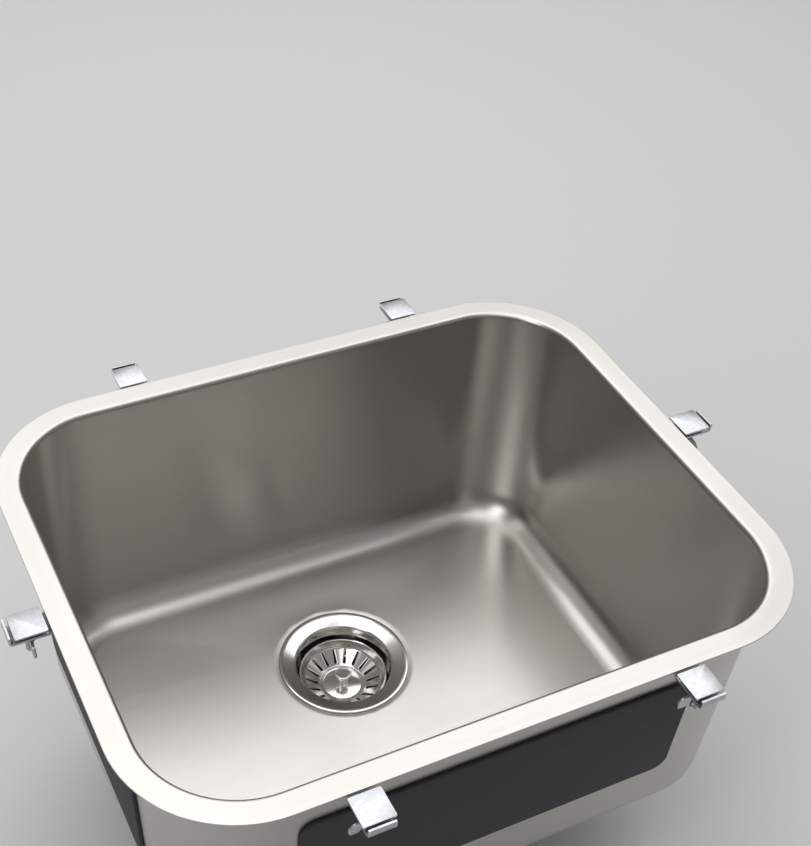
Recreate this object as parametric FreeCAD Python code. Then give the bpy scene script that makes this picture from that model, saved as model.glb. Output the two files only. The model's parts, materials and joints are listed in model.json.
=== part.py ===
import FreeCAD, Part
import math
import os

# Undermount kitchen sink in millimetres: a pressed bowl hung by its flange, a basket waste, and the fixings.
# The origin is the centre of the bowl's opening on the top face of the flange. +X runs along the long side,
# +Y towards the back, +Z up.

V = FreeCAD.Vector

# Bowl
opening_length = 488.0  # between the end walls, at the top face of the flange
opening_width = 390.0  # between the front and back walls, at the top face of the flange
bowl_depth = 230.0  # top face of the flange down to the floor round the drain seat
wall_draft = 3.0  # degrees that each wall leans in towards the floor
sheet = 1.2
corner_radius = 73.0  # upright corners, inside
floor_radius = 26.0  # bend between walls and floor, inside
floor_fall = 3.0  # how far the floor falls from the foot of the walls to the drain
rim_bend = 4.0  # bend between walls and flange, on the side that shows
flange_width = 20.0
drain_to_back = 142.0  # drain centre to the back edge of the opening
seat_margin = 4.0  # dished seat outside the waste flange
seat_dish = 4.0  # how far the seat falls from its edge to the edge of the drain hole

# Sound pads
pad_thickness = 3.0
pad_height = 110.0
pad_level = 105.0  # middle of the wall pads below the flange
pad_corner_gap = 14.0  # from a pad's edge to the nearest bend
pad_drain_gap = 12.0
pad_corner_radius = 12.0

# Fixing clips round the flange
clip_span = 250.0  # between the two clips of a long side; a short side has one in its middle
stud_plate_side = 24.0
stud_plate_thickness = 1.6
stud_radius = 3.0
stud_length = 27.0
stud_plate_gap = 2.0  # from the flange's edge to the stud plate
clip_thickness = 2.0
clip_width = 20.0
clip_drop = 6.0  # mounting face down to the clip's flat middle
clip_toe = 9.0  # length of the toe that presses on the flange
clip_bend = 1.5
clip_heel_gap = 2.0  # stud plate to the heel
clip_slot_play = 0.4
clip_slot_travel = 7.0
washer_radius = 8.0
washer_thickness = 1.2
washer_play = 0.3
wing_hub_radius = 6.0
wing_hub_height = 7.0
wing_span = 31.0
wing_height = 10.0
wing_thickness = 2.2
wing_gap = 2.3  # washer down to the wings
wing_shoulder = 12.4  # from the stud's axis to where a wing's upper edge turns down
wing_shoulder_fall = 1.2
wing_waist = 9.3  # from the stud's axis to the lower inner corner of a wing
thread_play = 0.05

# Waste flange: a pressed cup with a beaded ring
waste_sheet = 1.0
waste_ring_radius = 57.0
bead_width = 3.0
bead_rise = 0.4
bead_crown = 0.2  # outer edge of the bead above its inner edge
bead_edge_radius = 0.9
ring_edge_gap = 0.3  # bead's edge above the bowl
cup_radius = 42.0
cup_mouth_radius = 2.6  # bend from the ring down into the cup
cup_edge_radius = 1.6
cup_taper = 1.2  # how much narrower the cup is at the foot of its wall
cup_foot_radius = 6.0
cone_slope = 25.0  # degrees
well_radius = 27.0
well_taper = 1.5
well_foot_radius = 3.0
drain_slot_count = 6
drain_slot_inner = 11.5
drain_slot_outer = 22.5
drain_slot_bridge = 5.0  # metal between two drain slots

# Gaskets, waste body and its screw
flange_gasket_thickness = 0.9
gasket_margin = 1.5
under_gasket_thickness = 2.5
hole_clearance = 2.0  # waste cup to the edge of the drain hole
chamber_clearance = 0.6  # edge of the drain hole to the body's inner wall
body_wall = 2.6
body_collar_width = 6.5
body_collar_height = 4.5
body_chamber_taper = 1.0
body_chamber_foot = 14.0  # boss down to the outlet's mouth
body_floor_fall = 4.0
body_bend = 8.0
outlet_radius = 23.9  # 1 1/2 inch pipe thread, over its crests
outlet_wall = 4.2
outlet_length = 24.0
outlet_shoulder = 2.6
outlet_step = 2.0
boss_radius = 11.5
boss_height = 18.0
rib_count = 4
rib_thickness = 3.0
rib_height = 12.0
insert_radius = 8.5
insert_length = 14.0
screw_radius = 6.0
screw_length = 16.0
screw_head_radius = 8.0
screw_head_height = 5.0
screw_head_chamfer = 1.0
screw_bore_radius = 4.0
screw_bore_depth = 17.0
screw_slot_width = 2.4
screw_slot_depth = 1.8
screw_hole_play = 0.3
screw_end_gap = 1.5  # under the screw's end, in the boss

# Basket and what hangs from it
basket_sheet = 0.8
basket_rim_radius = 38.6
basket_rim_lip = 1.6
basket_rim_depth = 14.8  # floor round the seat down to the basket's rim
basket_depth = 15.2  # rim down to the inner ends of the slots
basket_shoulder_radius = 34.0
basket_shoulder_depth = 6.6
basket_bend = 4.0
disc_radius = 19.0
disc_step = 0.5
slot_count = 18
slot_inner = 22.8  # centre of each slot's rounded inner end
slot_outer = 32.6
slot_inner_radius = 1.25
slot_outer_radius = 0.65
knob_radius = 6.8
knob_cap = 3.2
knob_neck_radius = 5.3
knob_height = 14.2
knob_edge = 0.8
stem_radius = 2.5
stem_play = 0.1
stem_in_knob = 7.0
seal_radius = 33.5
seal_thickness = 3.5
seal_lip = 1.6
seal_lip_chamfer = 0.5
seat_gap = 0.3  # seal above the cup's cone
seal_washer_radius = 12.0
seal_washer_thickness = 1.0
stem_nut_flats = 8.0
stem_nut_height = 3.0
axial_play = 0.2
collar_shoulder_radius = 6.0
collar_shoulder_height = 6.0
collar_length = 10.0  # part of the collar inside the screw
running_play = 0.05  # radial, for turned fits that move
stem_head_radius = 3.3
stem_head_height = 1.8

cut_over = 1.0  # how far a cut starts and ends outside the face it goes through

hole_radius = cup_radius + waste_sheet + hole_clearance
chamber_radius = hole_radius + chamber_clearance
body_radius = chamber_radius + body_collar_width
seat_radius = waste_ring_radius + seat_margin
seat_slope = seat_dish / (seat_radius - hole_radius)
dish_spread = math.hypot(1, seat_slope)  # height over thickness of a layer that lies on the seat


def seat_height(radius, above=0):
    """Height of the dished seat at a radius from the drain's axis, or of a layer so far above it."""
    return (radius - seat_radius) * seat_slope + above * dish_spread


# Heights of the waste, measured from the floor round the drain seat
rim_level = -basket_rim_depth
slot_foot_level = rim_level - basket_depth
disc_top = slot_foot_level - disc_step
seal_top = disc_top - basket_sheet
seal_bottom = seal_top - seal_thickness
nut_top = seal_bottom - seal_washer_thickness
nut_bottom = nut_top - stem_nut_height
collar_top = nut_bottom - axial_play
screw_head_top = collar_top - collar_shoulder_height
plate_top = screw_head_top - screw_head_height
plate_bottom = plate_top - waste_sheet
collar_bottom = screw_head_top - collar_length
screw_end = plate_top - screw_length
boss_bottom = plate_bottom - boss_height
neck_top = boss_bottom - body_chamber_foot
chamber_foot = neck_top + body_floor_fall
body_top = seat_height(chamber_radius) - sheet - under_gasket_thickness

drain_setback = opening_width / 2 - drain_to_back
slope = math.tan(math.radians(wall_draft))
skin_spread = 1 / math.cos(math.radians(wall_draft))
drain = V(0, drain_setback, -bowl_depth)


def corner_points(before, corner, after, radius):
    """Ends and middle of the arc that rounds a corner of an outline."""
    to_before = (before - corner).normalize()
    to_after = (after - corner).normalize()
    half = to_before.getAngle(to_after) / 2
    reach = radius / math.tan(half)
    middle = (to_before + to_after).normalize() * (radius / math.sin(half) - radius)
    return corner + to_before * reach, corner + middle, corner + to_after * reach


def outline(points):
    """Face in the XZ plane. Each point is (x, z) or (x, z, radius of its rounded corner)."""
    spots = [V(p[0], 0, p[1]) for p in points]
    radii = [p[2] if len(p) > 2 else 0 for p in points]
    edges = []
    starts = []
    ends = []
    for i, spot in enumerate(spots):
        if radii[i] > 0:
            first, middle, last = corner_points(spots[i - 1], spot, spots[(i + 1) % len(spots)], radii[i])
            edges.append(Part.Arc(first, middle, last).toShape())
        else:
            first = spot
            last = spot
        starts.append(first)
        ends.append(last)
    for i, end in enumerate(ends):
        start = starts[(i + 1) % len(spots)]
        if end.distanceToPoint(start) > 1e-6:
            edges.append(Part.makeLine(end, start))
    return Part.Face(Part.Wire(Part.__sortEdges__(edges)))


def turned(points):
    """Solid turned about the Z axis from an outline of (radius, height, corner radius) points."""
    return outline(points).revolve(V(0, 0, 0), V(0, 0, 1), 360)


def ring(inner, outer, bottom, top):
    """Plain ring about the Z axis."""
    return turned([(inner, bottom), (outer, bottom), (outer, top), (inner, top)])


def cylinder(radius, bottom, top):
    """Plain cylinder about the Z axis."""
    return Part.makeCylinder(radius, top - bottom, V(0, 0, bottom))


def slot_cutter(start, end, start_radius, end_radius, bottom, top):
    """Upright solid of a slot along X whose round ends are centred at start and end."""
    lean = math.asin((start_radius - end_radius) / (end - start))
    across = V(math.sin(lean), math.cos(lean), 0)
    start_left = V(start, 0, bottom) + across * start_radius
    end_left = V(end, 0, bottom) + across * end_radius
    start_right = V(start_left.x, -start_left.y, bottom)
    end_right = V(end_left.x, -end_left.y, bottom)
    wire = Part.Wire([
        Part.makeLine(start_left, end_left),
        Part.Arc(end_left, V(end + end_radius, 0, bottom), end_right).toShape(),
        Part.makeLine(end_right, start_right),
        Part.Arc(start_right, V(start - start_radius, 0, bottom), start_left).toShape(),
    ])
    return Part.Face(wire).extrude(V(0, 0, top - bottom))


def at_drain(shape):
    """The waste and its seat are drawn about the Z axis from the floor's level, and set in the bowl here."""
    shape.translate(drain)
    return shape


def tangent_points(length, width, radius):
    """Ends of the four straight sides of a rounded rectangle, in order round it, starting front right."""
    x = length / 2
    y = width / 2
    return [
        (x - radius, -y),
        (x, radius - y),
        (x, y - radius),
        (x - radius, y),
        (radius - x, y),
        (-x, y - radius),
        (-x, radius - y),
        (radius - x, -y),
    ]


def rounded_rectangle(length, width, radius, level):
    """Wire of eight edges, a corner arc first."""
    points = [V(x, y, level) for x, y in tangent_points(length, width, radius)]
    corners = [(1, -1), (1, 1), (-1, 1), (-1, -1)]
    edges = []
    for i, (side_x, side_y) in enumerate(corners):
        centre = V(side_x * (length / 2 - radius), side_y * (width / 2 - radius), level)
        middle = centre + V(side_x, side_y, 0).normalize() * radius
        edges.append(Part.Arc(points[2 * i], middle, points[2 * i + 1]).toShape())
        edges.append(Part.makeLine(points[2 * i + 1], points[(2 * i + 2) % 8]))
    return Part.Wire(edges)


# Bowl

wall_drop = bowl_depth - floor_fall
wall_lean = wall_drop * slope
foot_inset = wall_lean + floor_radius  # from the opening's edge to where the floor is flat


def bowl_section(inner_edge):
    """Section of flange, rim bend, wall and foot bend, with the opening's edge at x = inner_edge."""
    outer_edge = inner_edge + sheet * skin_spread
    return outline([
        (inner_edge + flange_width, 0),
        (inner_edge, 0, rim_bend),
        (inner_edge - wall_lean, -wall_drop, floor_radius),
        (inner_edge - foot_inset, -wall_drop),
        (inner_edge - foot_inset, -wall_drop - sheet),
        (outer_edge - wall_lean - sheet * slope, -wall_drop - sheet, floor_radius + sheet),
        (outer_edge - sheet * slope, -sheet),
        (inner_edge + flange_width, -sheet),
    ])


def wall(half_opening, length, turn):
    """Straight side of the bowl, turned about Z to its place."""
    side = bowl_section(half_opening).extrude(V(0, length, 0))
    side.translate(V(0, -length / 2, 0))
    side.rotate(V(0, 0, 0), V(0, 0, 1), turn)
    return side


def corner(side_x, side_y, turn):
    """Quarter turn of the same section about the upright axis of a corner."""
    quarter = bowl_section(corner_radius).revolve(V(0, 0, 0), V(0, 0, 1), 90)
    quarter.rotate(V(0, 0, 0), V(0, 0, 1), turn)
    quarter.translate(V(
        side_x * (opening_length / 2 - corner_radius), side_y * (opening_width / 2 - corner_radius), 0
    ))
    return quarter


def floor_size(margin):
    """Length, width and corner radius of the sloped floor, drawn in by a margin on each side."""
    inset = foot_inset + margin
    return opening_length - 2 * inset, opening_width - 2 * inset, corner_radius - foot_inset


def over_floor(skin, headroom):
    """Space over the sloped floor, lowered by skin, up to headroom above the foot of the walls."""
    level = -wall_drop - skin
    size = floor_size(0)
    edge = rounded_rectangle(*size, level)
    centre = V(0, drain_setback, level - floor_fall)
    directions = [V(0, -1, 0), V(1, 0, 0), V(0, 1, 0), V(-1, 0, 0)]
    quadrants = [centre + direction * seat_radius for direction in directions]
    faces = []
    seat_edges = []
    for i, start in enumerate(quadrants):
        end = quadrants[(i + 1) % 4]
        middle = centre + (start + end - centre * 2).normalize() * seat_radius
        seat_edge = Part.Arc(start, middle, end).toShape()
        corner_edge = edge.Edges[2 * i]
        side_edge = edge.Edges[2 * i + 1]
        side_start, side_end = [vertex.Point for vertex in side_edge.Vertexes]
        faces.append(Part.makeRuledSurface(corner_edge, seat_edge))
        faces.append(Part.Face(Part.makePolygon([side_start, side_end, end, side_start])))
        seat_edges.append(seat_edge)
    faces.append(Part.Face(Part.Wire(seat_edges)))
    top = edge.copy()
    top.translate(V(0, 0, headroom))
    for low_edge, high_edge in zip(edge.Edges, top.Edges):
        if headroom:
            faces.append(Part.makeRuledSurface(low_edge, high_edge))
    faces.append(Part.Face(top))
    shell = Part.Shell(faces)
    shell.sewShape()
    space = Part.Solid(shell)
    if space.Volume < 0:
        space.reverse()
    return space


def make_bowl():
    long_side = opening_length - 2 * corner_radius
    short_side = opening_width - 2 * corner_radius
    pieces = [
        wall(opening_length / 2, short_side, 0),
        corner(1, 1, 0),
        wall(opening_width / 2, long_side, 90),
        corner(-1, 1, 90),
        wall(opening_length / 2, short_side, 180),
        corner(-1, -1, 180),
        wall(opening_width / 2, long_side, 270),
        corner(1, -1, 270),
    ]
    floor = over_floor(sheet, sheet).cut(over_floor(0, 0))
    floor = floor.cut(at_drain(cylinder(seat_radius, -sheet - cut_over, cut_over)))
    seat = at_drain(turned([
        (seat_radius, 0),
        (seat_radius, -sheet),
        (hole_radius, seat_height(hole_radius) - sheet),
        (hole_radius, seat_height(hole_radius)),
    ]))
    return floor.fuse(pieces + [seat]).removeSplitter()


def make_floor_pad():
    skin = sheet + pad_thickness
    bottom = -bowl_depth - skin - cut_over
    plan = Part.Face(rounded_rectangle(*floor_size(pad_corner_gap), bottom))
    pad = plan.extrude(V(0, 0, -wall_drop - bottom))
    pad = pad.common(over_floor(skin, skin)).cut(over_floor(sheet, sheet + cut_over))
    hole = seat_radius + pad_drain_gap
    return pad.cut(at_drain(cylinder(hole, -skin - cut_over, floor_fall + cut_over)))


def make_wall_pad(half_opening, along, turn):
    """Pad on the outside of the wall that stands half_opening from the middle, turned about Z to its side."""
    length = along - 2 * (corner_radius + pad_corner_gap)
    pad = Part.makeBox(pad_thickness, length, pad_height, V(0, -length / 2, -pad_height / 2))
    corners = [e for e in pad.Edges if abs(e.Vertexes[0].X - e.Vertexes[1].X) > pad_thickness / 2]
    pad = pad.makeFillet(pad_corner_radius, corners)
    pad.rotate(V(0, 0, 0), V(0, 1, 0), wall_draft)
    pad.translate(V(half_opening + sheet * skin_spread - pad_level * slope, 0, -pad_level))
    pad.rotate(V(0, 0, 0), V(0, 0, 1), turn)
    return pad


# Fixing clips: drawn with the flange's edge on the Y axis and the mounting face at z = 0


def round_the_flange(piece):
    """Copies of a clip's piece: one on each short side of the flange and two on each long side."""
    end = opening_length / 2 + flange_width
    side = opening_width / 2 + flange_width
    places = [
        (0, end, 0),
        (90, side, -clip_span / 2),
        (90, side, clip_span / 2),
        (180, end, 0),
        (270, side, -clip_span / 2),
        (270, side, clip_span / 2),
    ]
    copies = []
    for turn, edge, along in places:
        copy = piece.copy()
        copy.translate(V(edge, along, 0))
        copy.rotate(V(0, 0, 0), V(0, 0, 1), turn)
        copies.append(copy)
    return Part.Compound(copies)


stud_place = stud_plate_gap + stud_plate_side / 2
heel_inner = stud_place + stud_plate_side / 2 + clip_heel_gap
clip_bottom = -clip_drop - clip_thickness
nut_seat = clip_bottom - washer_thickness


def make_stud_plate():
    plate = Part.makeBox(
        stud_plate_side, stud_plate_side, stud_plate_thickness,
        V(stud_plate_gap, -stud_plate_side / 2, -stud_plate_thickness),
    )
    stud = cylinder(stud_radius, -stud_length, -stud_plate_thickness)
    stud.translate(V(stud_place, 0, 0))
    return plate.fuse(stud)


def make_clip():
    toe_under = -sheet - clip_thickness
    step = clip_drop - sheet
    step_shift = clip_thickness * math.tan(math.radians(22.5))  # keeps the thickness on the 45 degree step
    heel = heel_inner + clip_thickness
    face = outline([
        (heel, 0),
        (heel, clip_bottom, clip_bend + clip_thickness),
        (0, clip_bottom, clip_bend),
        (-step, toe_under, clip_bend + clip_thickness),
        (-step - clip_toe, toe_under),
        (-step - clip_toe, -sheet),
        (step_shift - step, -sheet, clip_bend),
        (step_shift, -clip_drop, clip_bend + clip_thickness),
        (heel_inner, -clip_drop, clip_bend),
        (heel_inner, 0),
    ])
    clip = face.extrude(V(0, clip_width, 0))
    clip.translate(V(0, -clip_width / 2, 0))
    radius = stud_radius + clip_slot_play
    start = stud_place - clip_slot_travel / 2
    end = stud_place + clip_slot_travel / 2
    return clip.cut(slot_cutter(start, end, radius, radius, clip_bottom - cut_over, cut_over - clip_drop))


def make_washer():
    piece = ring(stud_radius + washer_play, washer_radius, nut_seat, clip_bottom)
    piece.translate(V(stud_place, 0, 0))
    return piece


def make_wing_nut():
    low = nut_seat - wing_hub_height
    wing_top = nut_seat - wing_gap
    tip = wing_span / 2
    nut = cylinder(wing_hub_radius, low, nut_seat)
    for side in (-1, 1):
        wing = outline([
            (side * wing_hub_radius / 2, wing_top),
            (side * wing_shoulder, wing_top - wing_shoulder_fall),
            (side * tip, low),
            (side * tip, wing_top - wing_height),
            (side * wing_waist, wing_top - wing_height),
            (side * wing_hub_radius / 2, low),
        ]).extrude(V(0, wing_thickness, 0))
        wing.translate(V(0, -wing_thickness / 2, 0))
        nut = nut.fuse(wing)
    nut = nut.removeSplitter().cut(cylinder(stud_radius + thread_play, low - cut_over, nut_seat + cut_over))
    nut.rotate(V(0, 0, 0), V(0, 0, 1), 90)
    nut.translate(V(stud_place, 0, 0))
    return nut


# Waste: drawn about the Z axis with the floor round the drain seat at z = 0


def cup_cone(radius):
    """Height of the cup's cone at a radius. The seal comes down on it."""
    return seal_bottom - seat_gap + (radius - seal_radius) * math.tan(math.radians(cone_slope))


def make_waste_flange():
    ring_surface = flange_gasket_thickness + waste_sheet
    bead_inner = waste_ring_radius - bead_width
    bead_top = seat_height(bead_inner, ring_surface) + bead_rise
    bead_foot = seat_height(waste_ring_radius) + ring_edge_gap
    foot = cup_radius - cup_taper
    under = waste_sheet / math.cos(math.radians(cone_slope))
    cup = turned([
        (waste_ring_radius, bead_foot),
        (waste_ring_radius, bead_top, bead_edge_radius),
        (bead_inner, bead_top - bead_crown),
        (cup_radius, seat_height(cup_radius, ring_surface), cup_mouth_radius),
        (foot, cup_cone(foot), cup_foot_radius),
        (well_radius, cup_cone(well_radius), cup_edge_radius),
        (well_radius - well_taper, plate_top, well_foot_radius),
        (0, plate_top),
        (0, plate_bottom),
        (well_radius - well_taper + waste_sheet, plate_bottom),
        (well_radius + waste_sheet, cup_cone(well_radius + waste_sheet) - under),
        (foot + waste_sheet, cup_cone(foot + waste_sheet) - under),
        (cup_radius + waste_sheet, seat_height(cup_radius + waste_sheet, flange_gasket_thickness)),
        (bead_inner, seat_height(bead_inner, flange_gasket_thickness)),
        (waste_ring_radius - waste_sheet, bead_top - waste_sheet),
        (waste_ring_radius - waste_sheet, bead_foot),
    ])
    low = plate_bottom - cut_over
    high = plate_top + cut_over
    slots = ring(drain_slot_inner, drain_slot_outer, low, high)
    reach = drain_slot_outer + cut_over
    for i in range(drain_slot_count // 2):
        corner_point = V(-reach, -drain_slot_bridge / 2, low)
        bridge = Part.makeBox(2 * reach, drain_slot_bridge, high - low, corner_point)
        bridge.rotate(V(0, 0, 0), V(0, 0, 1), i * 360 / drain_slot_count)
        slots = slots.cut(bridge)
    return cup.cut(slots).cut(cylinder(screw_radius + screw_hole_play, low, high))


def make_flange_gasket():
    inner = hole_radius + gasket_margin
    outer = waste_ring_radius - bead_width - gasket_margin
    return turned([
        (inner, seat_height(inner)),
        (outer, seat_height(outer)),
        (outer, seat_height(outer, flange_gasket_thickness)),
        (inner, seat_height(inner, flange_gasket_thickness)),
    ])


def make_under_gasket():
    return turned([
        (chamber_radius, body_top),
        (body_radius, body_top),
        (body_radius, seat_height(body_radius) - sheet),
        (chamber_radius, seat_height(chamber_radius) - sheet),
    ])


def make_waste_body():
    foot_radius = chamber_radius - body_chamber_taper
    bore = outlet_radius - outlet_wall
    outlet_top = neck_top - body_wall - outlet_shoulder
    outlet_bottom = outlet_top - outlet_length
    body = turned([
        (chamber_radius, body_top),
        (body_radius, body_top),
        (body_radius, body_top - body_collar_height),
        (chamber_radius + body_wall, body_top - body_collar_height),
        (foot_radius + body_wall, chamber_foot, body_bend + body_wall),
        (outlet_radius + outlet_step, neck_top - body_wall),
        (outlet_radius + outlet_step, outlet_top),
        (outlet_radius, outlet_top),
        (outlet_radius, outlet_bottom),
        (bore, outlet_bottom),
        (bore, neck_top),
        (foot_radius, chamber_foot + body_wall),
    ])
    boss = cylinder(boss_radius, boss_bottom, plate_bottom)
    ribs = []
    for i in range(rib_count):
        rib = Part.makeBox(
            foot_radius + body_wall / 2, rib_thickness, rib_height, V(0, -rib_thickness / 2, boss_bottom)
        )
        rib.rotate(V(0, 0, 0), V(0, 0, 1), 45 + i * 360 / rib_count)
        ribs.append(rib)
    body = body.fuse([boss] + ribs).removeSplitter()
    body = body.cut(cylinder(insert_radius, plate_bottom - insert_length, plate_bottom + cut_over))
    return body.cut(cylinder(screw_radius + screw_hole_play, screw_end - screw_end_gap, plate_bottom))


def make_body_insert():
    return ring(screw_radius + thread_play, insert_radius, plate_bottom - insert_length, plate_bottom)


def make_centre_screw():
    bore_end = screw_head_top - screw_bore_depth
    screw = turned([
        (screw_bore_radius, screw_head_top),
        (screw_head_radius - screw_head_chamfer, screw_head_top),
        (screw_head_radius, screw_head_top - screw_head_chamfer),
        (screw_head_radius, plate_top),
        (screw_radius, plate_top),
        (screw_radius, screw_end),
        (0, screw_end),
        (0, bore_end),
        (screw_bore_radius, bore_end),
    ])
    reach = screw_head_radius + cut_over
    slot = Part.makeBox(
        2 * reach, screw_slot_width, screw_slot_depth + cut_over,
        V(-reach, -screw_slot_width / 2, screw_head_top - screw_slot_depth),
    )
    return screw.cut(slot)


def make_stem_collar():
    outer = screw_bore_radius - running_play
    inner = stem_radius + running_play
    return turned([
        (inner, collar_top),
        (collar_shoulder_radius, collar_top),
        (collar_shoulder_radius, screw_head_top),
        (outer, screw_head_top),
        (outer, collar_bottom),
        (inner, collar_bottom),
    ])


def make_basket():
    rim_inner = basket_rim_radius - basket_rim_lip
    shoulder = rim_level - basket_shoulder_depth
    cup = turned([
        (basket_rim_radius, rim_level - basket_sheet),
        (basket_rim_radius, rim_level),
        (rim_inner, rim_level),
        (basket_shoulder_radius, shoulder, basket_bend),
        (disc_radius + disc_step, slot_foot_level),
        (disc_radius, disc_top),
        (0, disc_top),
        (0, seal_top),
        (disc_radius + basket_sheet, seal_top),
        (disc_radius + disc_step + basket_sheet, slot_foot_level - basket_sheet),
        (basket_shoulder_radius + basket_sheet, shoulder - basket_sheet / 2, basket_bend + basket_sheet),
        (rim_inner + basket_sheet, rim_level - basket_sheet),
    ])
    slot = slot_cutter(
        slot_inner, slot_outer, slot_inner_radius, slot_outer_radius, seal_top - cut_over, rim_level
    )
    cuts = [cylinder(stem_radius + stem_play, seal_top - cut_over, disc_top + cut_over)]
    for i in range(slot_count):
        copy = slot.copy()
        copy.rotate(V(0, 0, 0), V(0, 0, 1), i * 360 / slot_count)
        cuts.append(copy)
    return cup.cut(cuts)


def make_basket_knob():
    top = disc_top + knob_height
    cap_foot = top - knob_cap
    return turned([
        (0, top),
        (knob_radius, top, knob_edge),
        (knob_radius, cap_foot),
        (knob_neck_radius, cap_foot - knob_edge),
        (knob_neck_radius, disc_top),
        (stem_radius, disc_top),
        (stem_radius, disc_top + stem_in_knob),
        (0, disc_top + stem_in_knob),
    ])


def make_basket_stem():
    head_top = collar_bottom - axial_play
    head_bottom = head_top - stem_head_height
    return turned([
        (0, disc_top + stem_in_knob),
        (stem_radius, disc_top + stem_in_knob),
        (stem_radius, head_top),
        (stem_head_radius, head_top),
        (stem_head_radius, head_bottom + stem_head_height / 2),
        (stem_radius, head_bottom),
        (0, head_bottom),
    ])


def make_basket_seal():
    inner = stem_radius + stem_play
    return turned([
        (inner, seal_top),
        (disc_radius, seal_top),
        (seal_radius, seal_bottom + seal_lip),
        (seal_radius, seal_bottom + seal_lip_chamfer),
        (seal_radius - seal_lip_chamfer, seal_bottom),
        (inner, seal_bottom),
    ])


def make_seal_washer():
    return ring(stem_radius + stem_play, seal_washer_radius, nut_top, seal_bottom)


def make_stem_nut():
    reach = stem_nut_flats / math.sqrt(3)
    turns = [i * math.pi / 3 for i in range(7)]
    points = [V(reach * math.cos(turn), reach * math.sin(turn), nut_bottom) for turn in turns]
    nut = Part.Face(Part.makePolygon(points)).extrude(V(0, 0, stem_nut_height))
    return nut.cut(cylinder(stem_radius + thread_play, nut_bottom - cut_over, nut_top + cut_over))


nodes = {
    "bowl": make_bowl(),
    "floor_sound_pad": make_floor_pad(),
    "right_sound_pad": make_wall_pad(opening_length / 2, opening_width, 0),
    "back_sound_pad": make_wall_pad(opening_width / 2, opening_length, 90),
    "left_sound_pad": make_wall_pad(opening_length / 2, opening_width, 180),
    "front_sound_pad": make_wall_pad(opening_width / 2, opening_length, 270),
    "stud_plates": round_the_flange(make_stud_plate()),
    "clip_brackets": round_the_flange(make_clip()),
    "clip_washers": round_the_flange(make_washer()),
    "wing_nuts": round_the_flange(make_wing_nut()),
    "waste_flange": at_drain(make_waste_flange()),
    "flange_gasket": at_drain(make_flange_gasket()),
    "under_gasket": at_drain(make_under_gasket()),
    "waste_body": at_drain(make_waste_body()),
    "body_insert": at_drain(make_body_insert()),
    "centre_screw": at_drain(make_centre_screw()),
    "stem_collar": at_drain(make_stem_collar()),
    "basket": at_drain(make_basket()),
    "basket_knob": at_drain(make_basket_knob()),
    "basket_stem": at_drain(make_basket_stem()),
    "basket_seal": at_drain(make_basket_seal()),
    "seal_washer": at_drain(make_seal_washer()),
    "stem_nut": at_drain(make_stem_nut()),
}

os.makedirs("parts", exist_ok=True)
for name, shape in nodes.items():
    shape.exportStep("parts/" + name + ".step")
    print(name, len(shape.Solids), "solids, valid", shape.isValid(), "volume", round(shape.Volume, 1))
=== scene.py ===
"""Undermount kitchen sink: pressed bowl, sound pads, fixing clips, and a waste with a lift-out strainer."""

import json
import math

import bmesh
import bpy
from bpy.props import FloatProperty, FloatVectorProperty, IntProperty, PointerProperty
from mathutils import Matrix, Vector


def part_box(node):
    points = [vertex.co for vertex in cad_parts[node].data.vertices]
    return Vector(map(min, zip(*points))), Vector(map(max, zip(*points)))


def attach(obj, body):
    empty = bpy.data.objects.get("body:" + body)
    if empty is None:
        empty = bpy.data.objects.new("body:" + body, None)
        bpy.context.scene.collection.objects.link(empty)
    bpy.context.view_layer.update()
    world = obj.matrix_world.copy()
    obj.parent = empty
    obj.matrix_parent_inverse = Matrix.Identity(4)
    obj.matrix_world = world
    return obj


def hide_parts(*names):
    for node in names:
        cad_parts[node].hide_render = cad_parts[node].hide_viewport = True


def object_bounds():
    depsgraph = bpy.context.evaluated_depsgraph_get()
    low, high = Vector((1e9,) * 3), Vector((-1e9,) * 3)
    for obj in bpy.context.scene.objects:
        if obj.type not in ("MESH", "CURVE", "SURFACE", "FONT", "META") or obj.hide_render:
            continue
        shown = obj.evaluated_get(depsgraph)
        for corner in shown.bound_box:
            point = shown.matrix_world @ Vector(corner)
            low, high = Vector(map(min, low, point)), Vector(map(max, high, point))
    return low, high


bl_info = {
    "name": "Undermount sink",
    "version": (1, 0, 0),
    "blender": (4, 5, 0),
    "location": "View3D > Sidebar > Sink",
    "description": "Builds an undermount sink bowl, its fixings and its strainer waste",
    "category": "Object",
}

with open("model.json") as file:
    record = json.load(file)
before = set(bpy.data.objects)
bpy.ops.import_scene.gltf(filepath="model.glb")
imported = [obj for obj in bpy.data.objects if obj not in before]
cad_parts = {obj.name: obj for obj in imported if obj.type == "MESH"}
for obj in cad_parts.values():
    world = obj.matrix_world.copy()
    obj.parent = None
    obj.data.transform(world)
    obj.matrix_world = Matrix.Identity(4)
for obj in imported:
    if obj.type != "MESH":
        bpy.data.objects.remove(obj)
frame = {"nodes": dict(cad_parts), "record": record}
CAD_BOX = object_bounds()

MM = 0.001
MOUNTS = {mount["name"]: mount for mount in frame["record"]["mounts"]}
BOWL_LOW, BOWL_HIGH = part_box("bowl")
OUTLET = MOUNTS["outlet_thread"]
DRAIN = Vector((*OUTLET["pos_m"][:2], -230 * MM))  # drain's axis at the level of the floor round it
TURN_STEPS = 144  # facets round a turned piece
SHARP = math.radians(32)  # edges that turn more than this stay sharp

# Sizes that several pieces share
SEAT_MARGIN = 2 * MM  # from the drain seat's edge to where its soft bend has ended
CLIP_THICK = 2 * MM
WASHER_THICK = 1.2 * MM
SEAL_RADIUS = 33.5  # in millimetres, as in every outline of a turned piece


# Sizes and colours


def length(name, description, default):
    """A size in metres."""
    return FloatProperty(name=name, description=description, default=default, unit="LENGTH", precision=4)


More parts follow.
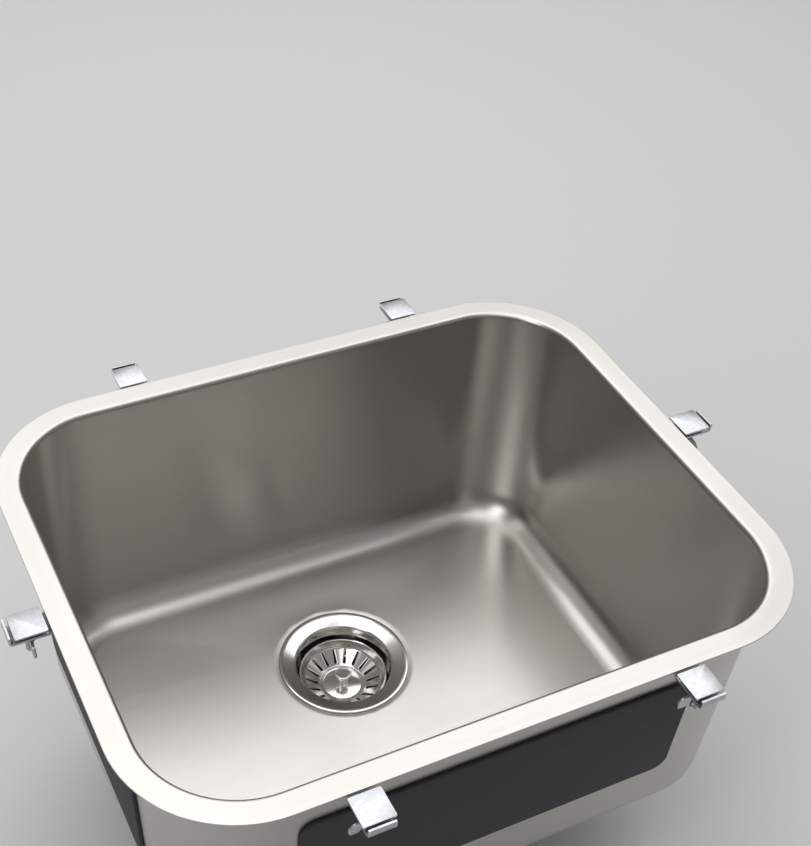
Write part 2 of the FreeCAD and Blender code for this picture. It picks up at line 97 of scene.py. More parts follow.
def power(name, description, default):
    """A lamp's power in watts."""
    return FloatProperty(name=name, description=description, default=default, subtype="POWER")


def colour(name, description, default):
    """A finish colour, in linear light."""
    return FloatVectorProperty(
        name=name, description=description, default=default, size=3, subtype="COLOR", min=0, max=1
    )


class BowlSizes(bpy.types.PropertyGroup):
    """Sizes of the pressed bowl."""

    flange_width: length("Flange width", "From the opening's edge to the flange's edge", 20 * MM)
    corner_radius: length("Corner radius", "Upright corners at the opening", 73 * MM)
    floor_radius: length("Floor radius", "Bend between the walls and the floor", 26 * MM)
    rim_bend: length("Rim bend", "Bend between the walls and the flange", 4 * MM)
    floor_fall: length("Floor fall", "From the foot of the walls down to the drain", 3 * MM)
    seat_radius: length("Seat radius", "Dished seat round the drain", 61 * MM)
    seat_dish: length("Seat dish", "How far the seat falls to the drain hole", 4 * MM)
    hole_radius: length("Hole radius", "Drain hole", 45 * MM)
    sheet: length("Sheet", "Thickness of the steel", 1.2 * MM)
    draft: FloatProperty(
        name="Wall draft", description="Lean of the walls", default=math.radians(3), subtype="ANGLE"
    )


class WasteSizes(bpy.types.PropertyGroup):
    """Sizes of the waste's ring, cup and body."""

    ring_radius: length("Ring radius", "Outer edge of the ring", 57 * MM)
    bead_width: length("Bead width", "Raised outer bead of the ring", 3 * MM)
    cup_radius: length("Cup radius", "Inner edge of the ring", 42 * MM)
    well_radius: length("Well radius", "Deep middle of the cup", 27 * MM)
    drain_slots: IntProperty(name="Drain slots", description="Slots in the cup's floor", default=6)
    bridge: length("Bridge", "Metal between two drain slots", 5 * MM)
    outlet_radius: length("Outlet radius", "Over the thread", OUTLET["dims"]["r_mm"] * MM)
    thread_pitch: length("Thread pitch", "Of the outlet's thread", 2.31 * MM)
    ribs: IntProperty(name="Ribs", description="Ribs that hold the boss in the body", default=4)


class StrainerSizes(bpy.types.PropertyGroup):
    """Sizes of the strainer basket and its knob."""

    rim_radius: length("Rim radius", "Outer edge of the basket", 38.6 * MM)
    disc_radius: length("Disc radius", "Flat disc in the middle", 19 * MM)
    slots: IntProperty(name="Slots", description="Slots round the disc", default=18)
    slot_start: length("Slot start", "Axis to the centre of a slot's wide end", 22.8 * MM)
    slot_end: length("Slot end", "Axis to the centre of a slot's narrow end", 32.6 * MM)
    slot_wide: length("Wide end", "Radius of a slot's wide end", 1.25 * MM)
    slot_narrow: length("Narrow end", "Radius of a slot's narrow end", 0.65 * MM)
    knob_radius: length("Knob radius", "Cap of the knob", 6.8 * MM)


class FixingSizes(bpy.types.PropertyGroup):
    """Sizes of the clips that hold the flange up."""

    clip_span: length("Clip span", "Between the two clips of a long side", 250 * MM)
    clip_width: length("Clip width", "Along the flange", 20 * MM)
    clip_drop: length("Clip drop", "Mounting face down to the clip's flat middle", 6 * MM)
    plate_side: length("Plate side", "Square plate of a stud", 24 * MM)
    stud_radius: length("Stud radius", "Threaded studs", 3 * MM)
    stud_length: length("Stud length", "Down from the mounting face", 27 * MM)
    stud_pitch: length("Stud pitch", "Thread of the studs", 1 * MM)


class Finishes(bpy.types.PropertyGroup):
    """Colours of the finishes."""

    satin: colour("Satin steel", "The bowl", (0.56, 0.54, 0.515))
    polished: colour("Polished steel", "Ring, basket and knob", (0.68, 0.665, 0.64))
    plain: colour("Turned steel", "Screw, stem and nut", (0.58, 0.57, 0.55))
    zinc: colour("Zinc plate", "Clips, washers and nuts", (0.50, 0.51, 0.53))
    pad: colour("Sound pads", "Bitumen rubber", (0.035, 0.035, 0.037))
    rubber: colour("Seals", "Moulded rubber", (0.018, 0.018, 0.018))
    plastic: colour("Waste body", "Moulded plastic", (0.62, 0.62, 0.60))
    nylon: colour("Nylon", "Stem collar", (0.70, 0.68, 0.62))
    brass: colour("Brass", "Threaded insert", (0.62, 0.44, 0.17))
    floor: colour("Floor", "Stage", (0.72, 0.72, 0.72))


class StageSettings(bpy.types.PropertyGroup):
    """Lamps and camera."""

    key: power("Key lamp", "Large soft box at the back", 42)
    side: power("Side lamp", "Tall soft box at the left", 12)
    top: power("Top lamp", "Overhead soft box", 17)
    sky: FloatProperty(name="Sky", description="Even light from all round", default=0.33, min=0)


# Nodes


def add(tree, kind, inputs=None, **settings):
    """Adds a node. An input is a value, or another node's output to link."""
    node = tree.nodes.new(kind)
    for name, value in settings.items():
        setattr(node, name, value)
    for key, value in (inputs or {}).items():
        if isinstance(value, bpy.types.NodeSocket):
            tree.links.new(value, node.inputs[key])
        else:
            node.inputs[key].default_value = value
    return node


def group(name, kind, inputs, outputs):
    """Empty node group with (name, socket type, default) inputs. Returns it, its inputs and its outputs."""
    old = bpy.data.node_groups.get(name)
    if old:
        bpy.data.node_groups.remove(old)
    tree = bpy.data.node_groups.new(name, kind)
    for label, socket, default in inputs:
        item = tree.interface.new_socket(label, in_out="INPUT", socket_type=socket)
        if default is not None:
            item.default_value = default
    for label, socket in outputs:
        tree.interface.new_socket(label, in_out="OUTPUT", socket_type=socket)
    return tree, tree.nodes.new("NodeGroupInput").outputs, tree.nodes.new("NodeGroupOutput").inputs


def math_node(tree, operation, first, second=0.0):
    """Output of a Math node."""
    return add(tree, "ShaderNodeMath", {0: first, 1: second}, operation=operation).outputs[0]


# Geometry Nodes trees


def finish_tree(tree, last, given, result, merge=None):
    """Ends a geometry tree: copies made real, doubles merged if asked, and the material set."""
    last = add(tree, "GeometryNodeRealizeInstances", {"Geometry": last.outputs[0]})
    if merge:
        last = add(tree, "GeometryNodeMergeByDistance", {"Geometry": last.outputs[0], "Distance": merge})
    last = add(tree, "GeometryNodeSetMaterial", {"Geometry": last.outputs[0], "Material": given["Material"]})
    tree.links.new(last.outputs[0], result["Geometry"])


def around_tree():
    """Copies of one sector round an upright axis, joined into one mesh."""
    tree, given, result = group(
        "Copies round an axis", "GeometryNodeTree",
        [
            ("Sector", "NodeSocketGeometry", None),
            ("Count", "NodeSocketInt", 6),
            ("Axis", "NodeSocketVector", None),
            ("Material", "NodeSocketMaterial", None),
        ],
        [("Geometry", "NodeSocketGeometry")],
    )
    points = add(tree, "GeometryNodePoints", {"Count": given["Count"], "Position": given["Axis"]})
    index = add(tree, "GeometryNodeInputIndex").outputs[0]
    step = math_node(tree, "DIVIDE", 2 * math.pi, given["Count"])
    turn = add(tree, "ShaderNodeCombineXYZ", {"Z": math_node(tree, "MULTIPLY", index, step)})
    rotation = add(tree, "FunctionNodeEulerToRotation", {"Euler": turn.outputs[0]})
    copies = add(tree, "GeometryNodeInstanceOnPoints", {
        "Points": points.outputs[0], "Instance": given["Sector"], "Rotation": rotation.outputs[0],
    })
    finish_tree(tree, copies, given, result, merge=0.002 * MM)
    return tree


def flange_tree():
    """Copies of one fixing round the flange: two on each long side and one on each short side."""
    tree, given, result = group(
        "Copies round the flange", "GeometryNodeTree",
        [
            ("Fixing", "NodeSocketGeometry", None),
            ("End", "NodeSocketFloat", 0.264),
            ("Side", "NodeSocketFloat", 0.215),
            ("Span", "NodeSocketFloat", 0.25),
            ("Material", "NodeSocketMaterial", None),
        ],
        [("Geometry", "NodeSocketGeometry")],
    )
    half_span = math_node(tree, "MULTIPLY", given["Span"], -0.5)
    start = add(tree, "ShaderNodeCombineXYZ", {"X": half_span, "Y": given["Side"]})
    step = add(tree, "ShaderNodeCombineXYZ", {"X": given["Span"]})
    line = add(tree, "GeometryNodeMeshLine", {
        "Count": 2, "Start Location": start.outputs[0], "Offset": step.outputs[0],
    })
    outward = add(tree, "FunctionNodeEulerToRotation", {"Euler": (0, 0, math.pi / 2)})
    pair = add(tree, "GeometryNodeInstanceOnPoints", {
        "Points": line.outputs[0], "Instance": given["Fixing"], "Rotation": outward.outputs[0],
    })
    place = add(tree, "ShaderNodeCombineXYZ", {"X": given["End"]})
    single = add(tree, "GeometryNodeTransform", {
        "Geometry": given["Fixing"], "Translation": place.outputs[0],
    })
    half = add(tree, "GeometryNodeJoinGeometry")
    tree.links.new(pair.outputs[0], half.inputs[0])
    tree.links.new(single.outputs[0], half.inputs[0])
    other = add(tree, "GeometryNodeTransform", {"Geometry": half.outputs[0], "Rotation": (0, 0, math.pi)})
    both = add(tree, "GeometryNodeJoinGeometry")
    tree.links.new(half.outputs[0], both.inputs[0])
    tree.links.new(other.outputs[0], both.inputs[0])
    finish_tree(tree, both, given, result)
    return tree


def thread_tree():
    """A screw thread's ridge, wound upwards from a foot round the core that comes in."""
    tree, given, result = group(
        "Screw thread", "GeometryNodeTree",
        [
            ("Core", "NodeSocketGeometry", None),
            ("Radius", "NodeSocketFloat", 0.003),
            ("Pitch", "NodeSocketFloat", 0.001),
            ("Length", "NodeSocketFloat", 0.02),
            ("Foot", "NodeSocketVector", None),
            ("Steps", "NodeSocketInt", 24),
            ("Material", "NodeSocketMaterial", None),
        ],
        [("Geometry", "NodeSocketGeometry")],
    )
    depth = math_node(tree, "MULTIPLY", given["Pitch"], 0.32)
    middle = math_node(tree, "SUBTRACT", given["Radius"], depth)
    turns = math_node(tree, "DIVIDE", given["Length"], given["Pitch"])
    helix = add(tree, "GeometryNodeCurveSpiral", {
        "Resolution": given["Steps"], "Rotations": turns, "Start Radius": middle, "End Radius": middle,
        "Height": given["Length"],
    })
    ridge = add(tree, "GeometryNodeCurvePrimitiveCircle", {"Resolution": 4, "Radius": depth})
    wound = add(tree, "GeometryNodeCurveToMesh", {
        "Curve": helix.outputs[0], "Profile Curve": ridge.outputs[0], "Fill Caps": True,
    })
    placed = add(tree, "GeometryNodeTransform", {"Geometry": wound.outputs[0], "Translation": given["Foot"]})
    both = add(tree, "GeometryNodeJoinGeometry")
    tree.links.new(given["Core"], both.inputs[0])
    tree.links.new(placed.outputs[0], both.inputs[0])
    finish_tree(tree, both, given, result)
    return tree


# Making meshes


def rounded(points, steps=6, closed=True):
    """Outline through (x, z) or (x, z, radius) corners, each rounded corner an arc of so many steps."""
    outline = []
    last = len(points) - 1
    for i, point in enumerate(points):
        here = Vector(point[:2])
        if len(point) < 3 or (not closed and i in (0, last)):
            outline.append(here)
            continue
        back = (Vector(points[i - 1][:2]) - here).normalized()
        ahead = (Vector(points[(i + 1) % len(points)][:2]) - here).normalized()
        half = back.angle(ahead) / 2
        centre = here + (back + ahead).normalized() * (point[2] / math.sin(half))
        reach = point[2] / math.tan(half)
        first = here + back * reach - centre
        final = here + ahead * reach - centre
        turn = math.pi - 2 * half
        for k in range(steps + 1):
            share = k / steps
            ray = first * math.sin((1 - share) * turn) + final * math.sin(share * turn)
            outline.append(centre + ray / math.sin(turn))
    return outline


def skin(bm, loops, wrap=True):
    """Quads between each loop of points and the next."""
    rows = [[bm.verts.new(point) for point in loop] for loop in loops]
    for first, second in zip(rows, rows[1:]):
        count = len(first)
        for j in range(count if wrap else count - 1):
            nxt = (j + 1) % count
            bm.faces.new((first[j], first[nxt], second[nxt], second[j]))


def turned(outline, angles):
    """Turns an outline of (radius, height) points about the Z axis through the given angles."""
    loops = []
    for angle in angles:
        loops.append([(p[0] * math.cos(angle), p[0] * math.sin(angle), p[1]) for p in outline])
    return loops


def full_turn(steps=TURN_STEPS):
    """Angles of a whole turn, with the first again at the end."""
    return [2 * math.pi * k / steps for k in range(steps + 1)]


def sector_turn(half_angle, steps):
    """Angles of a sector that lies evenly on both sides of X."""
    return [half_angle * (2 * k / steps - 1) for k in range(steps + 1)]


def placed_anew(name, data):
    """Object of that name in the scene, instead of an earlier one."""
    old = bpy.data.objects.get(name)
    if old:
        bpy.data.objects.remove(old)
    obj = bpy.data.objects.new(name, data)
    bpy.context.scene.collection.objects.link(obj)
    return obj


def piece(name, bm, sharp=SHARP, outward=True):
    """Object from a bmesh: doubles merged, faces outwards, smooth but for its sharp edges."""
    bmesh.ops.remove_doubles(bm, verts=bm.verts, dist=0.001 * MM)
    bmesh.ops.dissolve_degenerate(bm, edges=bm.edges, dist=0.0005 * MM)
    if outward:
        bmesh.ops.recalc_face_normals(bm, faces=bm.faces)
    mesh = bpy.data.meshes.new(name)
    bm.to_mesh(mesh)
    bm.free()
    obj = placed_anew(name, mesh)
    soften(obj, sharp)
    return obj


def soften(obj, sharp):
    """Smooth shading, but for edges that turn more than an angle."""
    obj.data.shade_smooth()
    obj.data.set_sharp_from_angle(angle=sharp)


def settle(obj):
    """Replaces the object's mesh by what its modifiers make of it, and removes them."""
    graph = bpy.context.evaluated_depsgraph_get()
    graph.update()
    mesh = bpy.data.meshes.new_from_object(obj.evaluated_get(graph))
    mesh.name = obj.name
    obj.modifiers.clear()
    obj.data = mesh
    return obj


def run_tree(obj, tree, **values):
    """Runs a geometry tree on a piece, with its inputs set by name, and keeps the plain mesh."""
    modifier = obj.modifiers.new(tree.name, "NODES")
    modifier.node_group = tree
    for item in tree.interface.items_tree:
        key = item.name.lower()
        if item.in_out == "INPUT" and key in values:
            modifier[item.identifier] = values[key]
    return settle(obj)


def bevelled(obj, width, segments=2, angle=math.radians(50)):
    """Rounds the sharp edges of a piece."""
    bevel = obj.modifiers.new("Edges", "BEVEL")
    bevel.width = width
    bevel.segments = segments
    bevel.limit_method = "ANGLE"
    bevel.angle_limit = angle
    return settle(obj)


def clean(obj):
    """Merges doubles and turns the faces outwards after a tree has joined copies."""
    bm = bmesh.new()
    bm.from_mesh(obj.data)
    bmesh.ops.remove_doubles(bm, verts=bm.verts, dist=0.003 * MM)
    bmesh.ops.recalc_face_normals(bm, faces=bm.faces)
    bm.to_mesh(obj.data)
    bm.free()
    soften(obj, SHARP)
    return obj


def at_drain(obj):
    """Moves a piece drawn about the Z axis from the drain's seat to its place."""
    obj.data.transform(Matrix.Translation(DRAIN))
    return obj


def hand_over(obj, body, slot, material, *nodes):
    """Puts a finished piece on its body, in place of the solids it stands for."""
    obj.data.materials.clear()
    obj.data.materials.append(material)
    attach(obj, body)
    if nodes:
        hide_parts(*nodes)
    return obj


def dress(node, material):
    """Gives a solid that shows as it is a better finish."""
    obj = frame["nodes"][node]
    if not obj.material_slots:
        obj.data.materials.append(material)
    for slot in obj.material_slots:
        slot.material = material


# Finishes


def grain_group():
    """Long fine scratches along the first axis of a vector."""
    tree, given, result = group(
        "Straight grain", "ShaderNodeTree",
        [
            ("Vector", "NodeSocketVector", None),
            ("Along", "NodeSocketFloat", 25.0),
            ("Across", "NodeSocketFloat", 2600.0),
        ],
        [("Fine", "NodeSocketFloat"), ("Broad", "NodeSocketFloat")],
    )
    along, across = given["Along"], given["Across"]
    scale = add(tree, "ShaderNodeCombineXYZ", {"X": along, "Y": across, "Z": across}).outputs[0]
    stretched = add(tree, "ShaderNodeVectorMath", {0: given["Vector"], 1: scale}, operation="MULTIPLY")
    fine = add(tree, "ShaderNodeTexNoise", {
        "Vector": stretched.outputs[0], "Scale": 1.0, "Detail": 3.0, "Roughness": 0.6,
    })
    coarser = add(tree, "ShaderNodeVectorMath", {0: stretched.outputs[0], "Scale": 0.12}, operation="SCALE")
    broad = add(tree, "ShaderNodeTexNoise", {
        "Vector": coarser.outputs[0], "Scale": 1.0, "Detail": 2.0, "Roughness": 0.5,
    })
    tree.links.new(fine.outputs[0], result["Fine"])
    tree.links.new(broad.outputs[0], result["Broad"])
    return tree


def turning_group():
    """Fine rings round an upright axis, as a lathe or a polishing wheel leaves."""
    tree, given, result = group(
        "Turning rings", "ShaderNodeTree",
        [
            ("Vector", "NodeSocketVector", None),
            ("Axis", "NodeSocketVector", None),
            ("Rings", "NodeSocketFloat", 3000.0),
        ],
        [("Fine", "NodeSocketFloat")],
    )
    away = add(tree, "ShaderNodeVectorMath", {0: given["Vector"], 1: given["Axis"]}, operation="SUBTRACT")
    parts = add(tree, "ShaderNodeSeparateXYZ", {0: away.outputs[0]})
    flat = add(tree, "ShaderNodeCombineXYZ", {"X": parts.outputs["X"], "Y": parts.outputs["Y"]})
    radius = add(tree, "ShaderNodeVectorMath", {0: flat.outputs[0]}, operation="LENGTH")
    rings = math_node(tree, "MULTIPLY", radius.outputs["Value"], given["Rings"])
    height = math_node(tree, "MULTIPLY", parts.outputs["Z"], given["Rings"])
    spot = add(tree, "ShaderNodeCombineXYZ", {"X": rings, "Z": height})
    noise = add(tree, "ShaderNodeTexNoise", {"Vector": spot.outputs[0], "Scale": 1.0, "Detail": 2.0})
    tree.links.new(noise.outputs[0], result["Fine"])
    return tree


def wear_group():
    """Mask of raised edges, broken up, where handling rubs a finish."""
    tree, given, result = group(
        "Edge wear", "ShaderNodeTree",
        [
            ("Vector", "NodeSocketVector", None),
            ("Reach", "NodeSocketFloat", 0.06),
            ("Patches", "NodeSocketFloat", 180.0),
        ],
        [("Mask", "NodeSocketFloat")],
    )
    pointed = add(tree, "ShaderNodeNewGeometry").outputs["Pointiness"]
    above = math_node(tree, "SUBTRACT", pointed, 0.5)
    edge = math_node(tree, "DIVIDE", above, given["Reach"])
    noise = add(tree, "ShaderNodeTexNoise", {
        "Vector": given["Vector"], "Scale": given["Patches"], "Detail": 3.0, "Roughness": 0.65,
    })
    broken = math_node(tree, "MULTIPLY", edge, noise.outputs[0])
    mask = add(tree, "ShaderNodeClamp", {"Value": math_node(tree, "MULTIPLY", broken, 2.0)})
    tree.links.new(mask.outputs[0], result["Mask"])
    return tree


def smudge_group():
    """Soft patches that a cloth and water leave on metal."""
    tree, given, result = group(
        "Smudges", "ShaderNodeTree",
        [
            ("Vector", "NodeSocketVector", None),
            ("Scale", "NodeSocketFloat", 9.0),
        ],
        [("Mask", "NodeSocketFloat")],
    )
    noise = add(tree, "ShaderNodeTexNoise", {
        "Vector": given["Vector"], "Scale": given["Scale"], "Detail": 4.0,
        "Roughness": 0.55, "Distortion": 0.6,
    })
    tree.links.new(noise.outputs[0], result["Mask"])
    return tree


def placed_group(tree, name, inputs):
    """A shared effect placed in a material, with its own values."""
    makers = {
        "Straight grain": grain_group, "Turning rings": turning_group, "Edge wear": wear_group,
        "Smudges": smudge_group,
    }
    shared = bpy.data.node_groups.get(name) or makers[name]()
    return add(tree, "ShaderNodeGroup", inputs, node_tree=shared).outputs


def blank_material(name, tint, **values):
    """Material with one Principled BSDF, made anew where it exists. Returns it, its tree and the shader."""
    material = bpy.data.materials.get(name) or bpy.data.materials.new(name)
    material.use_nodes = True
    tree = material.node_tree
    tree.nodes.clear()
    shader = add(tree, "ShaderNodeBsdfPrincipled", {"Base Color": (*tint, 1.0), **values})
    add(tree, "ShaderNodeOutputMaterial", {"Surface": shader.outputs[0]})
    material.diffuse_color = (*tint, 1.0)
    return material, tree, shader


def blend_value(tree, mask, low, high):
    """A mask from 0 to 1 spread between two values."""
    return add(tree, "ShaderNodeMapRange", {"Value": mask, "To Min": low, "To Max": high}).outputs[0]


def blend_colour(tree, mask, low, high):
    """A mask from 0 to 1 spread between two colours."""
    mix = add(tree, "ShaderNodeMix", {"Factor": mask, "A": (*low, 1.0), "B": (*high, 1.0)}, data_type="RGBA")
    return mix.outputs["Result"]


def finish_tint(name):
    """Colour of a finish, as it is set in the panel."""
    return tuple(getattr(bpy.context.scene.sink_finishes, name))


def shade(tint, factor):
    """A tint made lighter or darker."""
    return tuple(min(1.0, channel * factor) for channel in tint)


def satin_steel():
    """Bowl: fine straight grain along the walls and the floor, with soft patches."""
    tint = finish_tint("satin")
    material, tree, shader = blank_material("Satin steel", tint, Metallic=1.0)
    shader.inputs["Anisotropic"].default_value = 0.55
    shader.inputs["Anisotropic Rotation"].default_value = 0.25
    grain_uv = add(tree, "ShaderNodeUVMap", uv_map="UVMap").outputs[0]
    spot = add(tree, "ShaderNodeTexCoord").outputs["Object"]
    grain = placed_group(tree, "Straight grain", {"Vector": grain_uv, "Along": 22.0, "Across": 2200.0})
    smudge = placed_group(tree, "Smudges", {"Vector": spot, "Scale": 7.0})
    wear = placed_group(tree, "Edge wear", {"Vector": spot, "Reach": 0.05, "Patches": 60.0})
    grained = blend_colour(tree, grain["Fine"], shade(tint, 0.90), shade(tint, 1.08))
    tree.links.new(grained, shader.inputs["Base Color"])
    streaks = blend_value(tree, grain["Broad"], -0.04, 0.04)
    patches = blend_value(tree, smudge["Mask"], 0.25, 0.37)
    rough = math_node(tree, "ADD", streaks, patches)
    height = add(tree, "ShaderNodeSeparateXYZ", {0: spot}).outputs["Z"]
    rim = math_node(tree, "GREATER_THAN", height, -12 * MM)
    rim_wear = math_node(tree, "MULTIPLY", math_node(tree, "MULTIPLY", wear["Mask"], rim), 0.10)
    rubbed = math_node(tree, "SUBTRACT", rough, rim_wear)
    tree.links.new(rubbed, shader.inputs["Roughness"])
    bump = add(tree, "ShaderNodeBump", {"Height": grain["Fine"], "Strength": 0.10, "Distance": 0.05 * MM})
    tree.links.new(bump.outputs[0], shader.inputs["Normal"])
    tangent = add(tree, "ShaderNodeTangent", direction_type="UV_MAP", uv_map="UVMap")
    tree.links.new(tangent.outputs[0], shader.inputs["Tangent"])
    return material


def turned_metal(name, tint, rough, spread, rings=2600.0, bump=0.05):
    """Metal polished or turned about the drain's axis."""
    material, tree, shader = blank_material(name, tint, Metallic=1.0)
    spot = add(tree, "ShaderNodeTexCoord").outputs["Object"]
    ring = placed_group(tree, "Turning rings", {"Vector": spot, "Axis": tuple(DRAIN), "Rings": rings})
    smudge = placed_group(tree, "Smudges", {"Vector": spot, "Scale": 45.0})
    wear = placed_group(tree, "Edge wear", {"Vector": spot, "Reach": 0.08, "Patches": 400.0})
    worn = blend_colour(tree, wear["Mask"], shade(tint, 0.94), shade(tint, 1.12))
    tree.links.new(worn, shader.inputs["Base Color"])
    fine = blend_value(tree, ring["Fine"], -spread, spread)
    patches = blend_value(tree, smudge["Mask"], rough * 0.7, rough * 1.4)
    tree.links.new(math_node(tree, "ADD", fine, patches), shader.inputs["Roughness"])
    height = add(tree, "ShaderNodeBump", {"Height": ring["Fine"], "Strength": bump, "Distance": 0.03 * MM})
    tree.links.new(height.outputs[0], shader.inputs["Normal"])
    return material


def polished_steel():
    """Ring, basket and knob."""
    return turned_metal("Polished steel", finish_tint("polished"), 0.13, 0.03)


def plain_steel():
    """Screw, stem, washer and nut."""
    return turned_metal("Turned steel", finish_tint("plain"), 0.28, 0.06, 5200.0, 0.12)


def brass():
    """Threaded insert."""
    return turned_metal("Turned brass", finish_tint("brass"), 0.3, 0.05, 5200.0, 0.12)


def zinc_plate():
    """Clips: bright zinc with a faint spangle and rubbed edges."""
    tint = finish_tint("zinc")
    material, tree, shader = blank_material("Zinc plate", tint, Metallic=1.0)
    spot = add(tree, "ShaderNodeTexCoord").outputs["Object"]
    spangle = add(tree, "ShaderNodeTexVoronoi", {"Vector": spot, "Scale": 420.0})
    smudge = placed_group(tree, "Smudges", {"Vector": spot, "Scale": 60.0})
    wear = placed_group(tree, "Edge wear", {"Vector": spot, "Reach": 0.08, "Patches": 500.0})
    facets = add(tree, "ShaderNodeSeparateColor", {0: spangle.outputs["Color"]}).outputs[0]
    flecked = math_node(tree, "ADD", math_node(tree, "MULTIPLY", facets, 0.35), wear["Mask"])
    coloured = blend_colour(tree, flecked, shade(tint, 0.88), shade(tint, 1.25))
    tree.links.new(coloured, shader.inputs["Base Color"])
    tree.links.new(blend_value(tree, smudge["Mask"], 0.24, 0.48), shader.inputs["Roughness"])
    bump = add(tree, "ShaderNodeBump", {"Height": facets, "Strength": 0.06, "Distance": 0.05 * MM})
    tree.links.new(bump.outputs[0], shader.inputs["Normal"])
    return material


def moulded(name, tint, rough, speck, bump=0.25, distance=0.12, scale=900.0):
    """Moulded rubber or plastic with a fine matt skin."""
    material, tree, shader = blank_material(name, tint)
    spot = add(tree, "ShaderNodeTexCoord").outputs["Object"]
    grain = add(tree, "ShaderNodeTexNoise", {
        "Vector": spot, "Scale": scale, "Detail": 5.0, "Roughness": 0.6,
    })
    smudge = placed_group(tree, "Smudges", {"Vector": spot, "Scale": 24.0})
    wear = placed_group(tree, "Edge wear", {"Vector": spot, "Reach": 0.07, "Patches": 300.0})
    patches = math_node(tree, "ADD", math_node(tree, "MULTIPLY", smudge["Mask"], 0.7), wear["Mask"])
    coloured = blend_colour(tree, patches, shade(tint, 1 - speck), shade(tint, 1 + speck))
    tree.links.new(coloured, shader.inputs["Base Color"])
    tree.links.new(blend_value(tree, smudge["Mask"], rough - 0.08, rough + 0.08), shader.inputs["Roughness"])
    height = add(tree, "ShaderNodeBump", {
        "Height": grain.outputs[0], "Strength": bump, "Distance": distance * MM,
    })
    tree.links.new(height.outputs[0], shader.inputs["Normal"])
    return material


def pad_rubber():
    """Sound pads: heavy matt sheet with a pressed grain."""
    return moulded("Pad rubber", finish_tint("pad"), 0.72, 0.35, 0.6, 0.4, 420.0)


def seal_rubber():
    """Gaskets and the basket's seal."""
    return moulded("Seal rubber", finish_tint("rubber"), 0.48, 0.3)


def waste_plastic():
    """Body under the bowl."""
    return moulded("Waste plastic", finish_tint("plastic"), 0.42, 0.05, 0.15)


def nylon():
    """Collar on the stem."""
    return moulded("Nylon", finish_tint("nylon"), 0.4, 0.05, 0.1)


def floor_paint():
    """Stage."""
    return blank_material("Studio floor", finish_tint("floor"), Roughness=0.9)[0]


# Bowl


def stations(sizes):
    """Places round the bowl: the centre that a corner turns about, and the outward direction."""
    half_x = (BOWL_HIGH.x - BOWL_LOW.x) / 2 - sizes.flange_width - sizes.corner_radius
    half_y = (BOWL_HIGH.y - BOWL_LOW.y) / 2 - sizes.flange_width - sizes.corner_radius
    corners = [(1, -1, -90), (1, 1, 0), (-1, 1, 90), (-1, -1, 180)]
    corner_steps = 18
    places = []
    for i, (side_x, side_y, start) in enumerate(corners):
        centre = Vector((side_x * half_x, side_y * half_y))
        for k in range(corner_steps + 1):
            angle = math.radians(start + 90 * k / corner_steps)
            places.append((centre, Vector((math.cos(angle), math.sin(angle)))))
        next_x, next_y, _ = corners[(i + 1) % len(corners)]
        target = Vector((next_x * half_x, next_y * half_y))
        outward = places[-1][1]
        for share in (0.015, 0.08, 0.2, 0.35, 0.5, 0.65, 0.8, 0.92, 0.985):  # close beside the corners
            places.append((centre.lerp(target, share), outward))
    return places


def smoother(share):
    """Eases from 0 to 1 with no kink at either end."""
    return share * share * (3 - 2 * share)


def bowl_section(sizes, depth):
    """Outline of foot bend, wall and flange: up along the upper skin and back along the lower one."""
    radius = sizes.corner_radius
    lean = depth * math.tan(sizes.draft)
    foot = radius - lean - sizes.floor_radius
    edge = radius + sizes.flange_width
    sheet = sizes.sheet
    outer = sheet / math.cos(sizes.draft) - sheet * math.tan(sizes.draft)
    lip = 0.3 * MM
    outline = rounded([
        (foot, -depth),
        (radius - lean, -depth, sizes.floor_radius),
        (radius, 0, sizes.rim_bend),
        (edge, 0, lip),
        (edge, -sheet, lip),
        (radius + outer, -sheet, sizes.rim_bend - sheet),
        (radius - lean + outer, -depth - sheet, sizes.floor_radius + sheet),
        (foot, -depth - sheet),
    ], steps=14, closed=False)
    # More rows keep the flat stretches flat beside the bends
    longest = 12 * MM
    rows = []
    for first, second in zip(outline, outline[1:]):
        rows.append(first)
        gap = (second - first).length
        if gap > longest:
            near = 2.5 * MM / gap
            rows.extend(first.lerp(second, share) for share in (near, 0.25, 0.5, 0.75, 1 - near))
    rows.append(outline[-1])
    return rows


def foot_depth(sizes):
    """Depth of the foot of the walls, where the floor starts to fall."""
    return -DRAIN.z - sizes.floor_fall


def floor_height(sizes, share):
    """Height of the falling floor at a share of the way from the drain seat to the foot of the walls."""
    return -foot_depth(sizes) - sizes.floor_fall * smoother(1 - share)


def dish_slope(sizes):
    """Rise of the dished seat for each length outwards."""
    return sizes.seat_dish / (sizes.seat_radius - sizes.hole_radius)


def seat_height(sizes, radius):
    """Height of the dished seat above the floor round it, with a soft bend at its edge."""
    slope = dish_slope(sizes)
    bend = 1.5 * MM
    inside = sizes.seat_radius - radius
    if abs(inside) < bend:
        return -slope * (bend + inside) ** 2 / (4 * bend)
    return -slope * max(inside, 0)


def floor_rows(sizes, foot):
    """Points from the drain hole's edge out over the seat and the falling floor to the foot of the wall."""
    drain = DRAIN.xy
    away = (foot - drain).normalized()
    rows = []
    hole = (sizes.hole_radius - sizes.seat_radius) / MM
    beside_seat = (hole, hole + 0.3, -11, -6, -1.8, -1.2, -0.6, 0, 0.6, 1.2, 1.8)  # from the seat's edge
    for offset in beside_seat:
        radius = sizes.seat_radius + offset * MM
        spot = drain + away * radius
        rows.append((spot.x, spot.y, DRAIN.z + seat_height(sizes, radius)))
    start = drain + away * (sizes.seat_radius + SEAT_MARGIN)
    steps = 24
    for k in range(steps):
        share = k / steps
        spot = start.lerp(foot, share)
        rows.append((spot.x, spot.y, floor_height(sizes, share)))
    return rows


